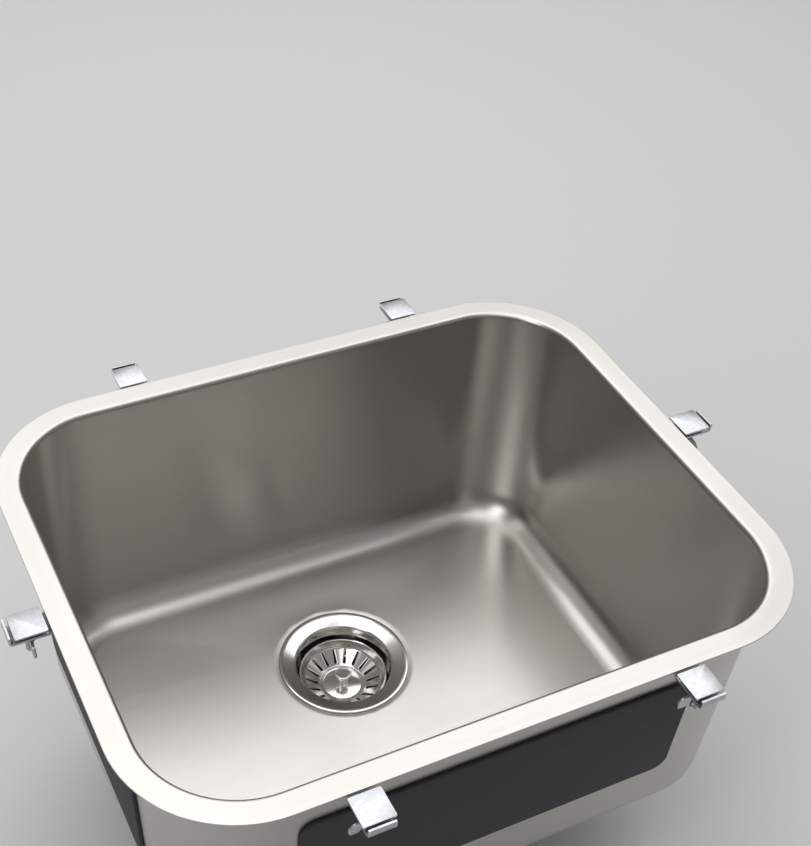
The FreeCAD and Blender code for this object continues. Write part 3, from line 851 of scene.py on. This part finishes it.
def make_bowl():
    """The pressed bowl: both skins of the sheet, with the grain's directions in its UV map."""
    sizes = bpy.context.scene.sink_bowl
    section = bowl_section(sizes, foot_depth(sizes))
    across = [0.0]
    for first, second in zip(section, section[1:]):
        across.append(across[-1] + (second - first).length)
    places = stations(sizes)
    along = [0.0]
    loops = []
    for (centre, outward), (target, heading) in zip(places, places[1:] + places[:1]):
        floor = floor_rows(sizes, centre + outward * section[0].x)
        under = [(x, y, z - sizes.sheet) for x, y, z in reversed(floor)]
        walls = [(*(centre + outward * row.x), row.y) for row in section]
        loops.append(floor + walls + under)
        step = (target - centre) + (heading - outward) * sizes.corner_radius
        along.append(along[-1] + step.length)
    bm = bmesh.new()
    uv = bm.loops.layers.uv.new("UVMap")
    floor_count = len(floor)
    rows = [[bm.verts.new(point) for point in loop] for loop in loops]
    count = len(rows[0])
    for k, row in enumerate(rows):
        following = rows[(k + 1) % len(rows)]
        for j in range(count):
            nxt = (j + 1) % count
            face = bm.faces.new((row[j], following[j], following[nxt], row[nxt]))
            wall = floor_count <= j < floor_count + len(section) - 1
            ends = ((k, j), (k + 1, j), (k + 1, j + 1), (k, j + 1))
            for corner, (station, item) in zip(face.loops, ends):
                if wall:
                    corner[uv].uv = (along[station], across[item - floor_count])
                else:
                    corner[uv].uv = corner.vert.co.xy
    return piece("bowl_shell", bm, sharp=math.radians(40))


# Sound pads


def make_wall_pad(node):
    """Sheet on a wall, from its solid, with worn round edges."""
    solid = frame["nodes"][node]
    bm = bmesh.new()
    bm.from_mesh(solid.data)
    bmesh.ops.transform(bm, matrix=solid.matrix_world, verts=bm.verts)
    bmesh.ops.remove_doubles(bm, verts=bm.verts, dist=0.01 * MM)
    bmesh.ops.dissolve_limit(bm, angle_limit=math.radians(0.5), verts=bm.verts, edges=bm.edges)
    pad = bevelled(piece(node.replace("_sound", ""), bm), 0.8 * MM, segments=3)
    soften(pad, SHARP)
    return pad


def make_floor_pad():
    """Sheet under the floor, with a round hole for the waste."""
    sizes = bpy.context.scene.sink_bowl
    foot_radius = bowl_section(sizes, foot_depth(sizes))[0].x
    wall_gap = 14 * MM
    hole = sizes.seat_radius + 12 * MM
    seat_edge = sizes.seat_radius + SEAT_MARGIN
    thick = 3 * MM
    steps = 14
    places = stations(sizes)
    drawn_in = [1 - wall_gap / max(abs(centre[axis]) for centre, _ in places) for axis in (0, 1)]
    loops = []
    for centre, outward in places:
        edge = centre * Vector(drawn_in) + outward * foot_radius - DRAIN.xy
        floor_end = (centre + outward * foot_radius - DRAIN.xy).length
        away = edge.normalized()
        upper = []
        for k in range(steps + 1):
            radius = hole + (edge.length - hole) * k / steps
            share = (radius - seat_edge) / (floor_end - seat_edge)
            upper.append((radius, floor_height(sizes, share) - sizes.sheet))
        section = upper + sheet_edge(upper[-1], thick, -1) + [(r, z - thick) for r, z in upper[-2:0:-1]]
        section += sheet_edge(upper[0], thick, 1)[::-1]
        loops.append([(*(DRAIN.xy + away * r), z) for r, z in section])
    bm = bmesh.new()
    skin(bm, loops + loops[:1])
    return piece("floor_pad", bm)


def sheet_edge(corner, thick, inward):
    """Points round the worn lower edge of a sheet, from its side to its underside."""
    radius, height = corner
    lip = 0.8 * MM
    angles = [math.radians(22.5 * k) for k in range(5)]
    return [
        (radius + inward * lip * (1 - math.cos(t)), height - thick + lip * (1 - math.sin(t))) for t in angles
    ]


# Waste: an outline's points are (radius, height) or (radius, height, rounding) in millimetres, with
# heights from the level of the floor round the drain


def local(points):
    """Outline in metres from millimetres."""
    return [tuple(value * MM for value in point) for point in points]


def pierced(bm, edge, hole, top, bottom, lip):
    """Plate between an outer edge and a hole with a rolled lip. Hole gives its outline, grown by a margin."""
    def at(loop, height):
        return [(p.x, p.y, height(p.length)) for p in loop]
    blends = (0.0, 0.35, 0.7)
    wide = hole(lip)
    near = hole(lip * 0.3)
    tight = hole(0.0)
    loops = [at([a.lerp(b, share) for a, b in zip(edge, wide)], top) for share in blends]
    loops.append(at(wide, top))
    loops.append(at(near, lambda r: top(r) - lip * 0.3))
    loops.append(at(tight, lambda r: top(r) - lip))
    loops.append(at(tight, bottom))
    loops.extend(at([a.lerp(b, share) for a, b in zip(edge, tight)], bottom) for share in reversed(blends))
    skin(bm, loops)


def polar(radius, angle):
    """Point at a radius and an angle about the origin."""
    return Vector((radius * math.cos(angle), radius * math.sin(angle)))


def arc_points(centre, radius, start, end, steps):
    """Points of an arc, the first included and the last left out."""
    points = []
    for k in range(steps):
        points.append(Vector(centre) + polar(radius, start + (end - start) * k / steps))
    return points


def line_points(start, end, steps):
    """Points of a straight line, the first included and the last left out."""
    return [Vector(start).lerp(Vector(end), k / steps) for k in range(steps)]


def ring_sector(low, high, low_angle, high_angle, arc_steps, side_steps):
    """Outline between two arcs about the origin that reach to an angle on each side of X."""
    return (
        arc_points((0, 0), high, -high_angle, high_angle, arc_steps)
        + line_points(polar(high, high_angle), polar(low, low_angle), side_steps)
        + arc_points((0, 0), low, low_angle, -low_angle, arc_steps)
        + line_points(polar(low, -low_angle), polar(high, -high_angle), side_steps)
    )


def tapered_slot(start, end, start_radius, end_radius, arc_steps, side_steps):
    """Function that gives a slot's outline along X, grown by a margin, in the order of ring_sector."""
    lean = math.asin((start_radius - end_radius) / (end - start))
    side = math.pi / 2 - lean

    def grown(margin):
        far = end_radius + margin
        near = start_radius + margin
        far_side = Vector((end, 0)) + polar(far, side)
        near_side = Vector((start, 0)) + polar(near, side)
        mirrored = [Vector((p.x, -p.y)) for p in (near_side, far_side)]
        return (
            arc_points((end, 0), far, -side, side, arc_steps)
            + line_points(far_side, near_side, side_steps)
            + arc_points((start, 0), near, side, 2 * math.pi - side, arc_steps)
            + line_points(mirrored[0], mirrored[1], side_steps)
        )
    return grown


def drain_window(inner, outer, half_angle, bridge, arc_steps, side_steps):
    """Function that gives a drain slot's outline between two bridges, grown by a margin."""
    def grown(margin):
        low = inner - margin
        high = outer + margin
        low_angle = half_angle - math.asin((bridge / 2 - margin) / low)
        high_angle = half_angle - math.asin((bridge / 2 - margin) / high)
        return ring_sector(low, high, low_angle, high_angle, arc_steps, side_steps)
    return grown


def level(node, end):
    """Lowest (0) or highest (1) height of a solid above the floor round the drain, in millimetres."""
    return (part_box(node)[end].z - DRAIN.z) / MM


def dish_height(radius, above=0.0):
    """Height of the drain seat's dish, or of a layer so far above it, in millimetres."""
    bowl = bpy.context.scene.sink_bowl
    slope = dish_slope(bowl)
    return (radius - bowl.seat_radius / MM) * slope + above * math.hypot(1, slope)


def cone_height(radius):
    """Height of the cup's cone at a radius, in millimetres. The seal comes down on it."""
    seal_gap = 0.3
    slope = math.tan(math.radians(25))
    return level("basket_seal", 0) - seal_gap + (radius - SEAL_RADIUS) * slope


def height_along(profile):
    """Function that gives the height at a radius on an outline that runs outwards."""
    def height(radius):
        for first, second in zip(profile, profile[1:]):
            if first.x <= radius <= second.x:
                share = (radius - first.x) / (second.x - first.x)
                return first.y + (second.y - first.y) * share
        return profile[0].y if radius < profile[0].x else profile[-1].y
    return height


def beyond(profile, height, start):
    """The part of an outline outside a radius, with a first point on that radius."""
    return [Vector((start, height(start)))] + [point for point in profile if point.x > start + 0.01 * MM]


def make_waste_ring():
    """Beaded ring, cup, cone and slotted well of the waste, as copies of one sector."""
    sizes = bpy.context.scene.sink_waste
    ring = sizes.ring_radius / MM
    bead = ring - sizes.bead_width / MM
    cup = sizes.cup_radius / MM
    well = sizes.well_radius / MM
    foot = cup - 1.2
    well_foot = well - 1.5
    sheet = 1.0
    gasket = 0.9
    floor = level("waste_flange", 0) + sheet
    crown = level("waste_flange", 1)
    band_outer, band_inner = 23.4, 10.6
    edge_foot = dish_height(ring) + 0.3
    outer = local([
        (band_outer, floor),
        (well_foot, floor, 2.2),
        (well, cone_height(well), 1.6),
        (foot, cone_height(foot), 6.0),
        (cup, dish_height(cup, gasket + sheet), 2.6),
        (bead - 0.7, dish_height(bead - 0.7, gasket + sheet), 0.6),
        (bead - 0.2, crown - 0.12, 0.5),
        (bead + 1.4, crown, 2.5),
        (ring, crown - 0.15, 0.7),
        (ring, edge_foot, 0.2),
        (ring - sheet, edge_foot),
        (ring - sheet, crown - sheet),
        (bead, dish_height(bead, gasket)),
        (cup + sheet, dish_height(cup + sheet, gasket), 1.6),
        (foot + sheet, cone_height(foot + sheet) - sheet, 7.0),
        (well + sheet, cone_height(well + sheet) - sheet, 0.6),
        (well_foot + sheet, floor - sheet, 3.0),
        (band_outer, floor - sheet),
    ])
    half_angle = math.pi / sizes.drain_slots
    steps = TURN_STEPS // sizes.drain_slots
    angles = sector_turn(half_angle, steps)
    bm = bmesh.new()
    skin(bm, turned(rounded(outer, steps=8, closed=False), angles), wrap=False)
    bore = 6.4
    hub = local([(band_inner, floor - sheet), (bore, floor - sheet), (bore, floor), (band_inner, floor)])
    skin(bm, turned(rounded(hub, closed=False), angles), wrap=False)
    side_steps = 6
    edge = ring_sector(band_inner * MM, band_outer * MM, half_angle, half_angle, steps, side_steps)
    window_low, window_high = 11.5 * MM, 22.5 * MM
    window = drain_window(window_low, window_high, half_angle, sizes.bridge, steps, side_steps)
    pierced(bm, edge, window, lambda r: floor * MM, lambda r: (floor - sheet) * MM, 0.3 * MM)
    obj = piece("waste_ring", bm, outward=False)
    run_tree(obj, around_tree(), count=sizes.drain_slots, axis=tuple(DRAIN))
    return clean(obj)


def make_basket():
    """Slotted strainer basket, as copies of one sector with its slot."""
    sizes = bpy.context.scene.sink_strainer
    rim = sizes.rim_radius / MM
    disc = sizes.disc_radius / MM
    rim_level = level("basket", 1)
    sheet = 0.8
    disc_top = level("basket", 0) + sheet
    step = 0.5
    shoulder = 34.0
    shoulder_level = rim_level - 6.6
    groove = 16.9  # faint pressed ring near the disc's edge
    upper = rounded(local([
        (0, disc_top),
        (groove - 0.5, disc_top),
        (groove, disc_top - 0.14, 0.3),
        (groove + 0.5, disc_top),
        (disc - 0.4, disc_top, 0.4),
        (disc, disc_top + step, 0.3),
        (disc + 1.2, disc_top + step, 1.6),
        (shoulder, shoulder_level, 3.6),
        (rim - 1.6, rim_level, 0.5),
        (rim, rim_level, 0.35),
        (rim, rim_level - sheet, 0.3),
        (rim - 0.9, rim_level - sheet),
    ]), steps=8, closed=False)
    lower = rounded(local([
        (0, disc_top - sheet),
        (disc + sheet, disc_top - sheet, 0.5),
        (disc + step + sheet, disc_top + step - sheet),
        (shoulder + sheet, shoulder_level - 0.4, 4.6),
        (rim - 0.9, rim_level - sheet),
    ]), steps=8, closed=False)
    band_inner, band_outer = 21.2 * MM, 33.6 * MM
    rim_points = 20  # left out, as the rim turns back on itself
    above = upper[:-rim_points]
    top = height_along(above)
    bottom = height_along(lower)
    half_angle = math.pi / sizes.slots
    steps = TURN_STEPS // sizes.slots
    angles = sector_turn(half_angle, steps)
    wall = beyond(upper, top, band_outer) + beyond(lower, bottom, band_outer)[::-1]
    inner_top = [p for p in above if p.x < band_inner] + [Vector((band_inner, top(band_inner)))]
    inner_low = [p for p in lower if p.x < band_inner] + [Vector((band_inner, bottom(band_inner)))]
    bm = bmesh.new()
    skin(bm, turned(wall, angles), wrap=False)
    skin(bm, turned(inner_low[::-1] + inner_top, angles), wrap=False)
    side_steps = 12
    edge = ring_sector(band_inner, band_outer, half_angle, half_angle, steps, side_steps)
    slot = tapered_slot(
        sizes.slot_start, sizes.slot_end, sizes.slot_wide, sizes.slot_narrow, steps, side_steps
    )
    pierced(bm, edge, slot, top, bottom, 0.12 * MM)
    obj = piece("strainer_basket", bm, outward=False)
    run_tree(obj, around_tree(), count=sizes.slots, axis=tuple(DRAIN))
    return clean(obj)


def lathe(name, points, steps=8, facets=TURN_STEPS):
    """Solid turned about the drain's axis from an outline in millimetres."""
    bm = bmesh.new()
    skin(bm, turned(rounded(local(points), steps=steps), full_turn(facets)))
    return at_drain(piece(name, bm))


def make_knob():
    """Knob with a flat cap and a waisted neck."""
    radius = bpy.context.scene.sink_strainer.knob_radius / MM
    low = level("basket_knob", 0)
    high = level("basket_knob", 1)
    cap = high - 3.2
    return lathe("strainer_knob", [
        (0, low), (5.3, low, 0.2), (5.3, low + 1.2, 0.5), (4.8, low + 3.4, 2.4), (4.8, cap - 2.4, 2.4),
        (5.3, cap - 0.8, 0.4), (radius, cap, 0.5), (radius, high - 0.05, 0.7), (radius - 1.3, high, 0.2),
        (radius - 1.6, high - 0.15, 0.1), (0, high - 0.15),
    ])


def make_seal():
    """Rubber seal with a lip round its edge."""
    high = level("basket_seal", 1)
    low = level("basket_seal", 0)
    return lathe("strainer_seal", [
        (2.6, low), (2.6, high), (19.0, high, 0.6), (30.5, low + 2.1, 1.5),
        (SEAL_RADIUS, low + 1.6, 0.3), (SEAL_RADIUS, low + 0.5, 0.4), (SEAL_RADIUS - 0.5, low, 0.4),
        (31.6, low, 0.5), (30.9, low + 0.5, 0.4), (24.0, low + 0.5, 0.4), (23.3, low, 0.4),
    ])


def make_stem():
    """Post under the basket, with a head that keeps it in its collar."""
    low = level("basket_stem", 0)
    high = level("basket_stem", 1)
    head, post = 3.3, 2.5
    return lathe("strainer_stem", [
        (0, low), (2.2, low, 0.2), (head, low + 0.8, 0.3), (head, low + 1.8, 0.2),
        (post, low + 1.8), (post, high), (0, high),
    ], facets=48)


def make_waste_body():
    """Moulded body under the bowl: collar, chamber, threaded outlet, and ribs that carry the boss."""
    sizes = bpy.context.scene.sink_waste
    top = level("waste_body", 1)
    low = level("waste_body", 0)
    wall = 2.6
    collar, chamber = 52.1, 48.2
    collar_foot = top - 4.5
    outlet = sizes.outlet_radius / MM
    bore = outlet - 4.2
    thread = OUTLET["dims"]["length_mm"]
    shoulder = low + thread
    neck = shoulder + wall
    foot = neck + wall + 4.0
    core = outlet - 0.64 * sizes.thread_pitch / MM
    below_collar = chamber - 1
    body = lathe("waste_chamber", [
        (chamber - wall, top), (collar, top, 0.5), (collar, collar_foot, 0.9), (chamber, collar_foot, 0.8),
        (below_collar, foot, 10.6), (outlet + 2, neck, 2.0), (outlet + 2, shoulder, 0.5), (core, shoulder),
        (core, low, 0.8), (bore, low, 0.4), (bore, neck + wall, 1.5), (below_collar - wall, foot + wall, 7.0),
    ])
    run_tree(
        body, thread_tree(), radius=sizes.outlet_radius, pitch=sizes.thread_pitch, steps=72,
        length=(thread - 3) * MM, foot=DRAIN + Vector((0, 0, (low + 1.2) * MM)),
    )
    plate = level("waste_flange", 0)
    boss_low = plate - 18
    hole, rim = 8.5, 11.5
    boss = lathe("waste_boss", [(hole, boss_low), (rim, boss_low, 0.6), (rim, plate, 0.3), (hole, plate)])
    start, end, half, height = 10.5 * MM, 46.0 * MM, 1.5 * MM, 12 * MM
    bm = bmesh.new()
    bmesh.ops.create_cube(bm, size=1, matrix=(
        Matrix.Translation(((start + end) / 2, 0, boss_low * MM + height / 2))
        @ Matrix.Diagonal((end - start, 2 * half, height, 1))
    ))
    bmesh.ops.rotate(bm, verts=bm.verts, matrix=Matrix.Rotation(math.radians(45), 3, "Z"))
    ribs = bevelled(piece("waste_ribs", bm), 0.3 * MM)
    run_tree(ribs, around_tree(), count=sizes.ribs, axis=tuple(DRAIN))
    return merged("waste_body_shell", body, boss, ribs)


def merged(name, *objects):
    """One object from several."""
    bm = bmesh.new()
    for obj in objects:
        bm.from_mesh(obj.data)
        bpy.data.objects.remove(obj)
    return piece(name, bm)


# Fixings: drawn along X with the flange's edge at x = 0 and the mounting face at z = 0


def round_flange(obj):
    """Copies of one fixing's piece round the flange."""
    span = bpy.context.scene.sink_fixings.clip_span
    return run_tree(obj, flange_tree(), end=BOWL_HIGH.x, side=BOWL_HIGH.y, span=span)


def stud_x(sizes):
    """The stud's axis: its plate stands 2 mm clear of the flange."""
    return 2 * MM + sizes.plate_side / 2


def make_studs():
    """Square plates with threaded studs."""
    sizes = bpy.context.scene.sink_fixings
    thick = 1.6 * MM
    half = sizes.plate_side / 2
    bm = bmesh.new()
    corner = 1.5 * MM
    square = ((-half, -half), (half, -half), (half, half), (-half, half))
    outline = rounded([(*point, corner) for point in square])
    rings = [[bm.verts.new((p.x, p.y, z)) for p in outline] for z in (-thick, 0)]
    bm.faces.new(rings[0])
    bm.faces.new(rings[1])
    for i in range(len(outline)):
        nxt = (i + 1) % len(outline)
        bm.faces.new((rings[0][i], rings[0][nxt], rings[1][nxt], rings[1][i]))
    plate = bevelled(piece("stud_plate", bm), 0.25 * MM)
    core = sizes.stud_radius - 0.55 * sizes.stud_pitch
    bm = bmesh.new()
    weld = sizes.stud_radius + 1 * MM
    outline = rounded([
        (0, -thick / 2), (weld, -thick / 2), (weld, -thick - 0.4 * MM, 0.4 * MM),
        (core, -thick - 1.2 * MM, 0.5 * MM), (core, -sizes.stud_length, 0.5 * MM), (0, -sizes.stud_length),
    ], steps=4, closed=False)
    skin(bm, turned(outline, full_turn(32)), wrap=False)
    stud = piece("stud_core", bm)
    run_tree(
        stud, thread_tree(), radius=sizes.stud_radius, pitch=sizes.stud_pitch, steps=20,
        length=sizes.stud_length - thick - 2.6 * MM, foot=Vector((0, 0, -sizes.stud_length + 0.9 * MM)),
    )
    both = merged("fixing_studs", plate, stud)
    both.data.transform(Matrix.Translation((stud_x(sizes), 0, 0)))
    return round_flange(both)


def make_clips():
    """Bent strips that press the flange up, slotted for the stud."""
    sizes = bpy.context.scene.sink_fixings
    sheet = bpy.context.scene.sink_bowl.sheet
    thick = CLIP_THICK
    bend = 1.5 * MM
    lip = 0.3 * MM
    step = sizes.clip_drop - sheet
    shift = thick * math.tan(math.radians(22.5))
    heel = stud_x(sizes) + sizes.plate_side / 2 + 2 * MM
    toe = -step - 9 * MM
    low = -sizes.clip_drop - thick
    middle = stud_x(sizes)
    half_band = 9.5 * MM
    inner, outer = middle - half_band, middle + half_band
    toe_strip = rounded([
        (inner, low), (0, low, bend), (-step, -sheet - thick, bend + thick), (toe, -sheet - thick, lip),
        (toe, -sheet, lip), (shift - step, -sheet, bend), (shift, -sizes.clip_drop, bend + thick),
        (inner, -sizes.clip_drop),
    ], steps=5, closed=False)
    heel_strip = rounded([
        (outer, -sizes.clip_drop), (heel, -sizes.clip_drop, bend), (heel, 0, lip), (heel + thick, 0, lip),
        (heel + thick, low, bend + thick), (outer, low),
    ], steps=5, closed=False)
    half = sizes.clip_width / 2
    steps, side_steps = 12, 6
    edge = (
        line_points((outer, -half), (outer, half), steps)
        + line_points((outer, half), (inner, half), side_steps)
        + line_points((inner, half), (inner, -half), steps)
        + line_points((inner, -half), (outer, -half), side_steps)
    )
    across = [-half + 2 * half * k / steps for k in range(steps + 1)]
    travel = 3.5 * MM
    slot_half = sizes.stud_radius + 0.4 * MM
    slot = tapered_slot(middle - travel, middle + travel, slot_half, slot_half, steps, side_steps)
    bm = bmesh.new()
    pierced(bm, edge, slot, lambda r: -sizes.clip_drop, lambda r: low, 0.2 * MM)
    for strip in (toe_strip, heel_strip):
        skin(bm, [[(p.x, y, p.y) for p in strip] for y in across], wrap=False)
    bmesh.ops.remove_doubles(bm, verts=bm.verts, dist=0.01 * MM)
    bmesh.ops.holes_fill(bm, edges=[e for e in bm.edges if e.is_boundary], sides=0)
    clip = bevelled(piece("fixing_clips", bm), 0.3 * MM, angle=math.radians(60))
    return round_flange(clip)


def make_washers():
    """Washers under the clips."""
    sizes = bpy.context.scene.sink_fixings
    high = -sizes.clip_drop - CLIP_THICK
    low = high - WASHER_THICK
    inner, outer = sizes.stud_radius + 0.3 * MM, 8 * MM
    worn = 0.35 * MM
    bm = bmesh.new()
    skin(bm, turned(rounded([
        (inner, low), (outer, low, worn), (outer, high, worn), (inner, high),
    ], steps=4), full_turn(48)))
    washer = piece("fixing_washers", bm)
    washer.data.transform(Matrix.Translation((stud_x(sizes), 0, 0)))
    return round_flange(washer)


def prism(bm, outline, half):
    """Solid between two copies of an (x, z) outline at y = -half and y = half."""
    loops = [[bm.verts.new((p.x, y, p.y)) for p in outline] for y in (-half, half)]
    bm.faces.new(loops[0])
    bm.faces.new(loops[1][::-1])
    for i in range(len(outline)):
        nxt = (i + 1) % len(outline)
        bm.faces.new((loops[0][i], loops[1][i], loops[1][nxt], loops[0][nxt]))


def make_wing_nuts():
    """Wing nuts on the studs."""
    sizes = bpy.context.scene.sink_fixings
    seat = -(sizes.clip_drop + CLIP_THICK + WASHER_THICK) / MM
    low = seat - 7.0
    wing_top = seat - 2.3
    wing_low = wing_top - 10
    root, tip = 3.6, 15.5
    half = 1.1 * MM
    bore = sizes.stud_radius / MM - 0.1
    bm = bmesh.new()
    skin(bm, turned(rounded(local([
        (bore, low), (4.6, low, 0.5), (6.0, seat - 1.5, 2.0), (6.0, seat, 0.3), (bore, seat),
    ]), steps=5), full_turn(40)))
    hub = piece("wing_hub", bm)
    bm = bmesh.new()
    for side in (-1, 1):
        prism(bm, rounded(local([
            (side * root, wing_top, 0.6), (side * 12.4, wing_top - 1.2, 3.0), (side * tip, low, 2.0),
            (side * tip, wing_low, 1.8), (side * 9.3, wing_low, 2.0), (side * root, low, 1.0),
        ]), steps=6), half)
    wings = bevelled(piece("wing_pair", bm), 0.5 * MM, segments=3)
    nut = merged("fixing_wing_nuts", hub, wings)
    nut.data.transform(Matrix.Translation((stud_x(sizes), 0, 0)) @ Matrix.Rotation(math.pi / 2, 4, "Z"))
    return round_flange(nut)


# Add-on


class SINK_OT_bowl(bpy.types.Operator):
    """Press the bowl and its flange"""

    bl_idname = "sink.bowl"
    bl_label = "Bowl"

    def execute(self, context):
        hand_over(make_bowl(), "sink", "satin_steel", satin_steel(), "bowl")
        return {"FINISHED"}


class SINK_OT_pads(bpy.types.Operator):
    """Lay the sound pads on the walls and under the floor"""

    bl_idname = "sink.pads"
    bl_label = "Sound pads"

    def execute(self, context):
        material = pad_rubber()
        hand_over(make_floor_pad(), "sink", "pad_rubber", material, "floor_sound_pad")
        for side in ("right", "back", "left", "front"):
            node = side + "_sound_pad"
            hand_over(make_wall_pad(node), "sink", "pad_rubber", material, node)
        return {"FINISHED"}


class SINK_OT_fixings(bpy.types.Operator):
    """Set the studs, clips, washers and wing nuts round the flange"""

    bl_idname = "sink.fixings"
    bl_label = "Fixings"

    def execute(self, context):
        material = zinc_plate()
        makers = {
            "stud_plates": make_studs, "clip_brackets": make_clips,
            "clip_washers": make_washers, "wing_nuts": make_wing_nuts,
        }
        for node, make in makers.items():
            hand_over(make(), "sink", "zinc_steel", material, node)
        return {"FINISHED"}


class SINK_OT_waste(bpy.types.Operator):
    """Build the waste's ring and cup, and its body under the bowl"""

    bl_idname = "sink.waste"
    bl_label = "Waste"

    def execute(self, context):
        hand_over(make_waste_ring(), "sink", "polished_steel", polished_steel(), "waste_flange")
        hand_over(make_waste_body(), "sink", "waste_plastic", waste_plastic(), "waste_body")
        dress("body_insert", brass())
        dress("centre_screw", plain_steel())
        rubber = seal_rubber()
        dress("flange_gasket", rubber)
        dress("under_gasket", rubber)
        return {"FINISHED"}


class SINK_OT_strainer(bpy.types.Operator):
    """Build the lift-out basket with its knob, stem, seal and collar"""

    bl_idname = "sink.strainer"
    bl_label = "Strainer"

    def execute(self, context):
        polished = polished_steel()
        hand_over(make_basket(), "basket", "polished_steel", polished, "basket")
        hand_over(make_knob(), "basket", "polished_steel", polished, "basket_knob")
        hand_over(make_seal(), "basket", "gasket_rubber", seal_rubber(), "basket_seal")
        steel = plain_steel()
        hand_over(make_stem(), "basket", "plain_steel", steel, "basket_stem")
        dress("seal_washer", steel)
        dress("stem_nut", steel)
        dress("stem_collar", nylon())
        return {"FINISHED"}


class SINK_OT_stage(bpy.types.Operator):
    """Lay the floor and backdrop, hang the lamps and set up the camera"""

    bl_idname = "sink.stage"
    bl_label = "Stage"

    def execute(self, context):
        make_floor()
        make_lamps(context.scene)
        make_camera(context.scene)
        return {"FINISHED"}


def make_floor():
    """Pale floor just under the waste, swept up all round into a backdrop."""
    floor_z = CAD_BOX[0][2] - 0.5 * MM
    reach, sweep, height = 6.5, 1.6, 5.0
    profile = rounded([
        (0, floor_z), (reach, floor_z, sweep), (reach + 0.5, floor_z + height),
    ], steps=16, closed=False)
    bm = bmesh.new()
    skin(bm, turned([(p.x, p.y) for p in profile], full_turn(96)), wrap=False)
    floor = piece("studio_floor", bm, sharp=math.radians(80), outward=False)
    floor.data.materials.append(floor_paint())


def aimed_lamp(name, place, target, size, watts):
    """Rectangular soft box that faces a point."""
    light = bpy.data.lights.new(name, "AREA")
    light.shape = "RECTANGLE"
    light.size, light.size_y = size
    light.energy = watts
    lamp = placed_anew(name, light)
    lamp.location = place
    lamp.rotation_euler = (Vector(target) - Vector(place)).to_track_quat("-Z", "Y").to_euler()


def make_lamps(scene):
    """Three soft boxes and an even sky."""
    settings = scene.sink_stage
    middle = (0, 0, -0.1)
    aimed_lamp("key_box", (0.6, 1.5, 2.2), middle, (3.4, 2.4), settings.key)
    aimed_lamp("side_box", (-1.7, -0.7, 1.7), middle, (0.8, 2.0), settings.side)
    aimed_lamp("top_box", (-0.3, -0.2, 2.8), middle, (2.0, 2.0), settings.top)
    world = bpy.data.worlds.get("Studio") or bpy.data.worlds.new("Studio")
    scene.world = world
    world.use_nodes = True
    tree = world.node_tree
    tree.nodes.clear()
    sky = add(tree, "ShaderNodeBackground", {"Color": (1, 1, 1, 1), "Strength": settings.sky})
    add(tree, "ShaderNodeOutputWorld", {"Surface": sky.outputs[0]})


def make_camera(scene):
    """Camera at the photograph's viewing angle."""
    yaw, pitch, roll = (math.radians(angle) for angle in (27.81, 41.14, 3.57))
    place = Vector((-0.40040, -0.68947, 0.77676))
    focal_pixels = 1471.7
    photo_width, photo_height = 811, 846
    axis_pixel_x, axis_pixel_y = 349.32, 430.44
    forward = Vector((math.sin(yaw) * math.cos(pitch), math.cos(yaw) * math.cos(pitch), -math.sin(pitch)))
    level_right = Vector((math.cos(yaw), -math.sin(yaw), 0))
    level_up = level_right.cross(forward)
    right = level_right * math.cos(roll) + level_up * math.sin(roll)
    up = level_up * math.cos(roll) - level_right * math.sin(roll)
    lens = bpy.data.cameras.new("photo_camera")
    camera = placed_anew("photo_camera", lens)
    turn = Matrix((right, up, -forward)).transposed()
    camera.matrix_world = Matrix.Translation(place) @ turn.to_4x4()
    longer = max(photo_width, photo_height)
    lens.lens = focal_pixels * lens.sensor_width / longer
    lens.shift_x = (photo_width / 2 - axis_pixel_x) / longer
    lens.shift_y = (axis_pixel_y - photo_height / 2) / longer
    lens.clip_start = 0.01
    scene.camera = camera
    scene.view_settings.view_transform = "Standard"


class SINK_PT_panel(bpy.types.Panel):
    """Builders of the sink's pieces"""

    bl_label = "Undermount sink"
    bl_idname = "SINK_PT_panel"
    bl_space_type = "VIEW_3D"
    bl_region_type = "UI"
    bl_category = "Sink"

    def draw(self, context):
        for operator in OPERATORS:
            self.layout.operator(operator.bl_idname)
        for name in SETTINGS:
            box = self.layout.box()
            settings = getattr(context.scene, name)
            for key in settings.bl_rna.properties.keys():
                if key not in ("rna_type", "name"):
                    box.prop(settings, key)


SETTINGS = {
    "sink_bowl": BowlSizes,
    "sink_waste": WasteSizes,
    "sink_strainer": StrainerSizes,
    "sink_fixings": FixingSizes,
    "sink_finishes": Finishes,
    "sink_stage": StageSettings,
}
OPERATORS = (SINK_OT_bowl, SINK_OT_pads, SINK_OT_fixings, SINK_OT_waste, SINK_OT_strainer, SINK_OT_stage)


def register():
    for cls in (*SETTINGS.values(), *OPERATORS, SINK_PT_panel):
        bpy.utils.register_class(cls)
    for name, cls in SETTINGS.items():
        setattr(bpy.types.Scene, name, PointerProperty(type=cls))


def unregister():
    for name in SETTINGS:
        delattr(bpy.types.Scene, name)
    for cls in reversed((*SETTINGS.values(), *OPERATORS, SINK_PT_panel)):
        bpy.utils.unregister_class(cls)


def main():
    register()
    bpy.ops.sink.bowl()
    bpy.ops.sink.pads()
    bpy.ops.sink.fixings()
    bpy.ops.sink.waste()
    bpy.ops.sink.strainer()
    bpy.ops.sink.stage()


if __name__ == "__main__":
    main()
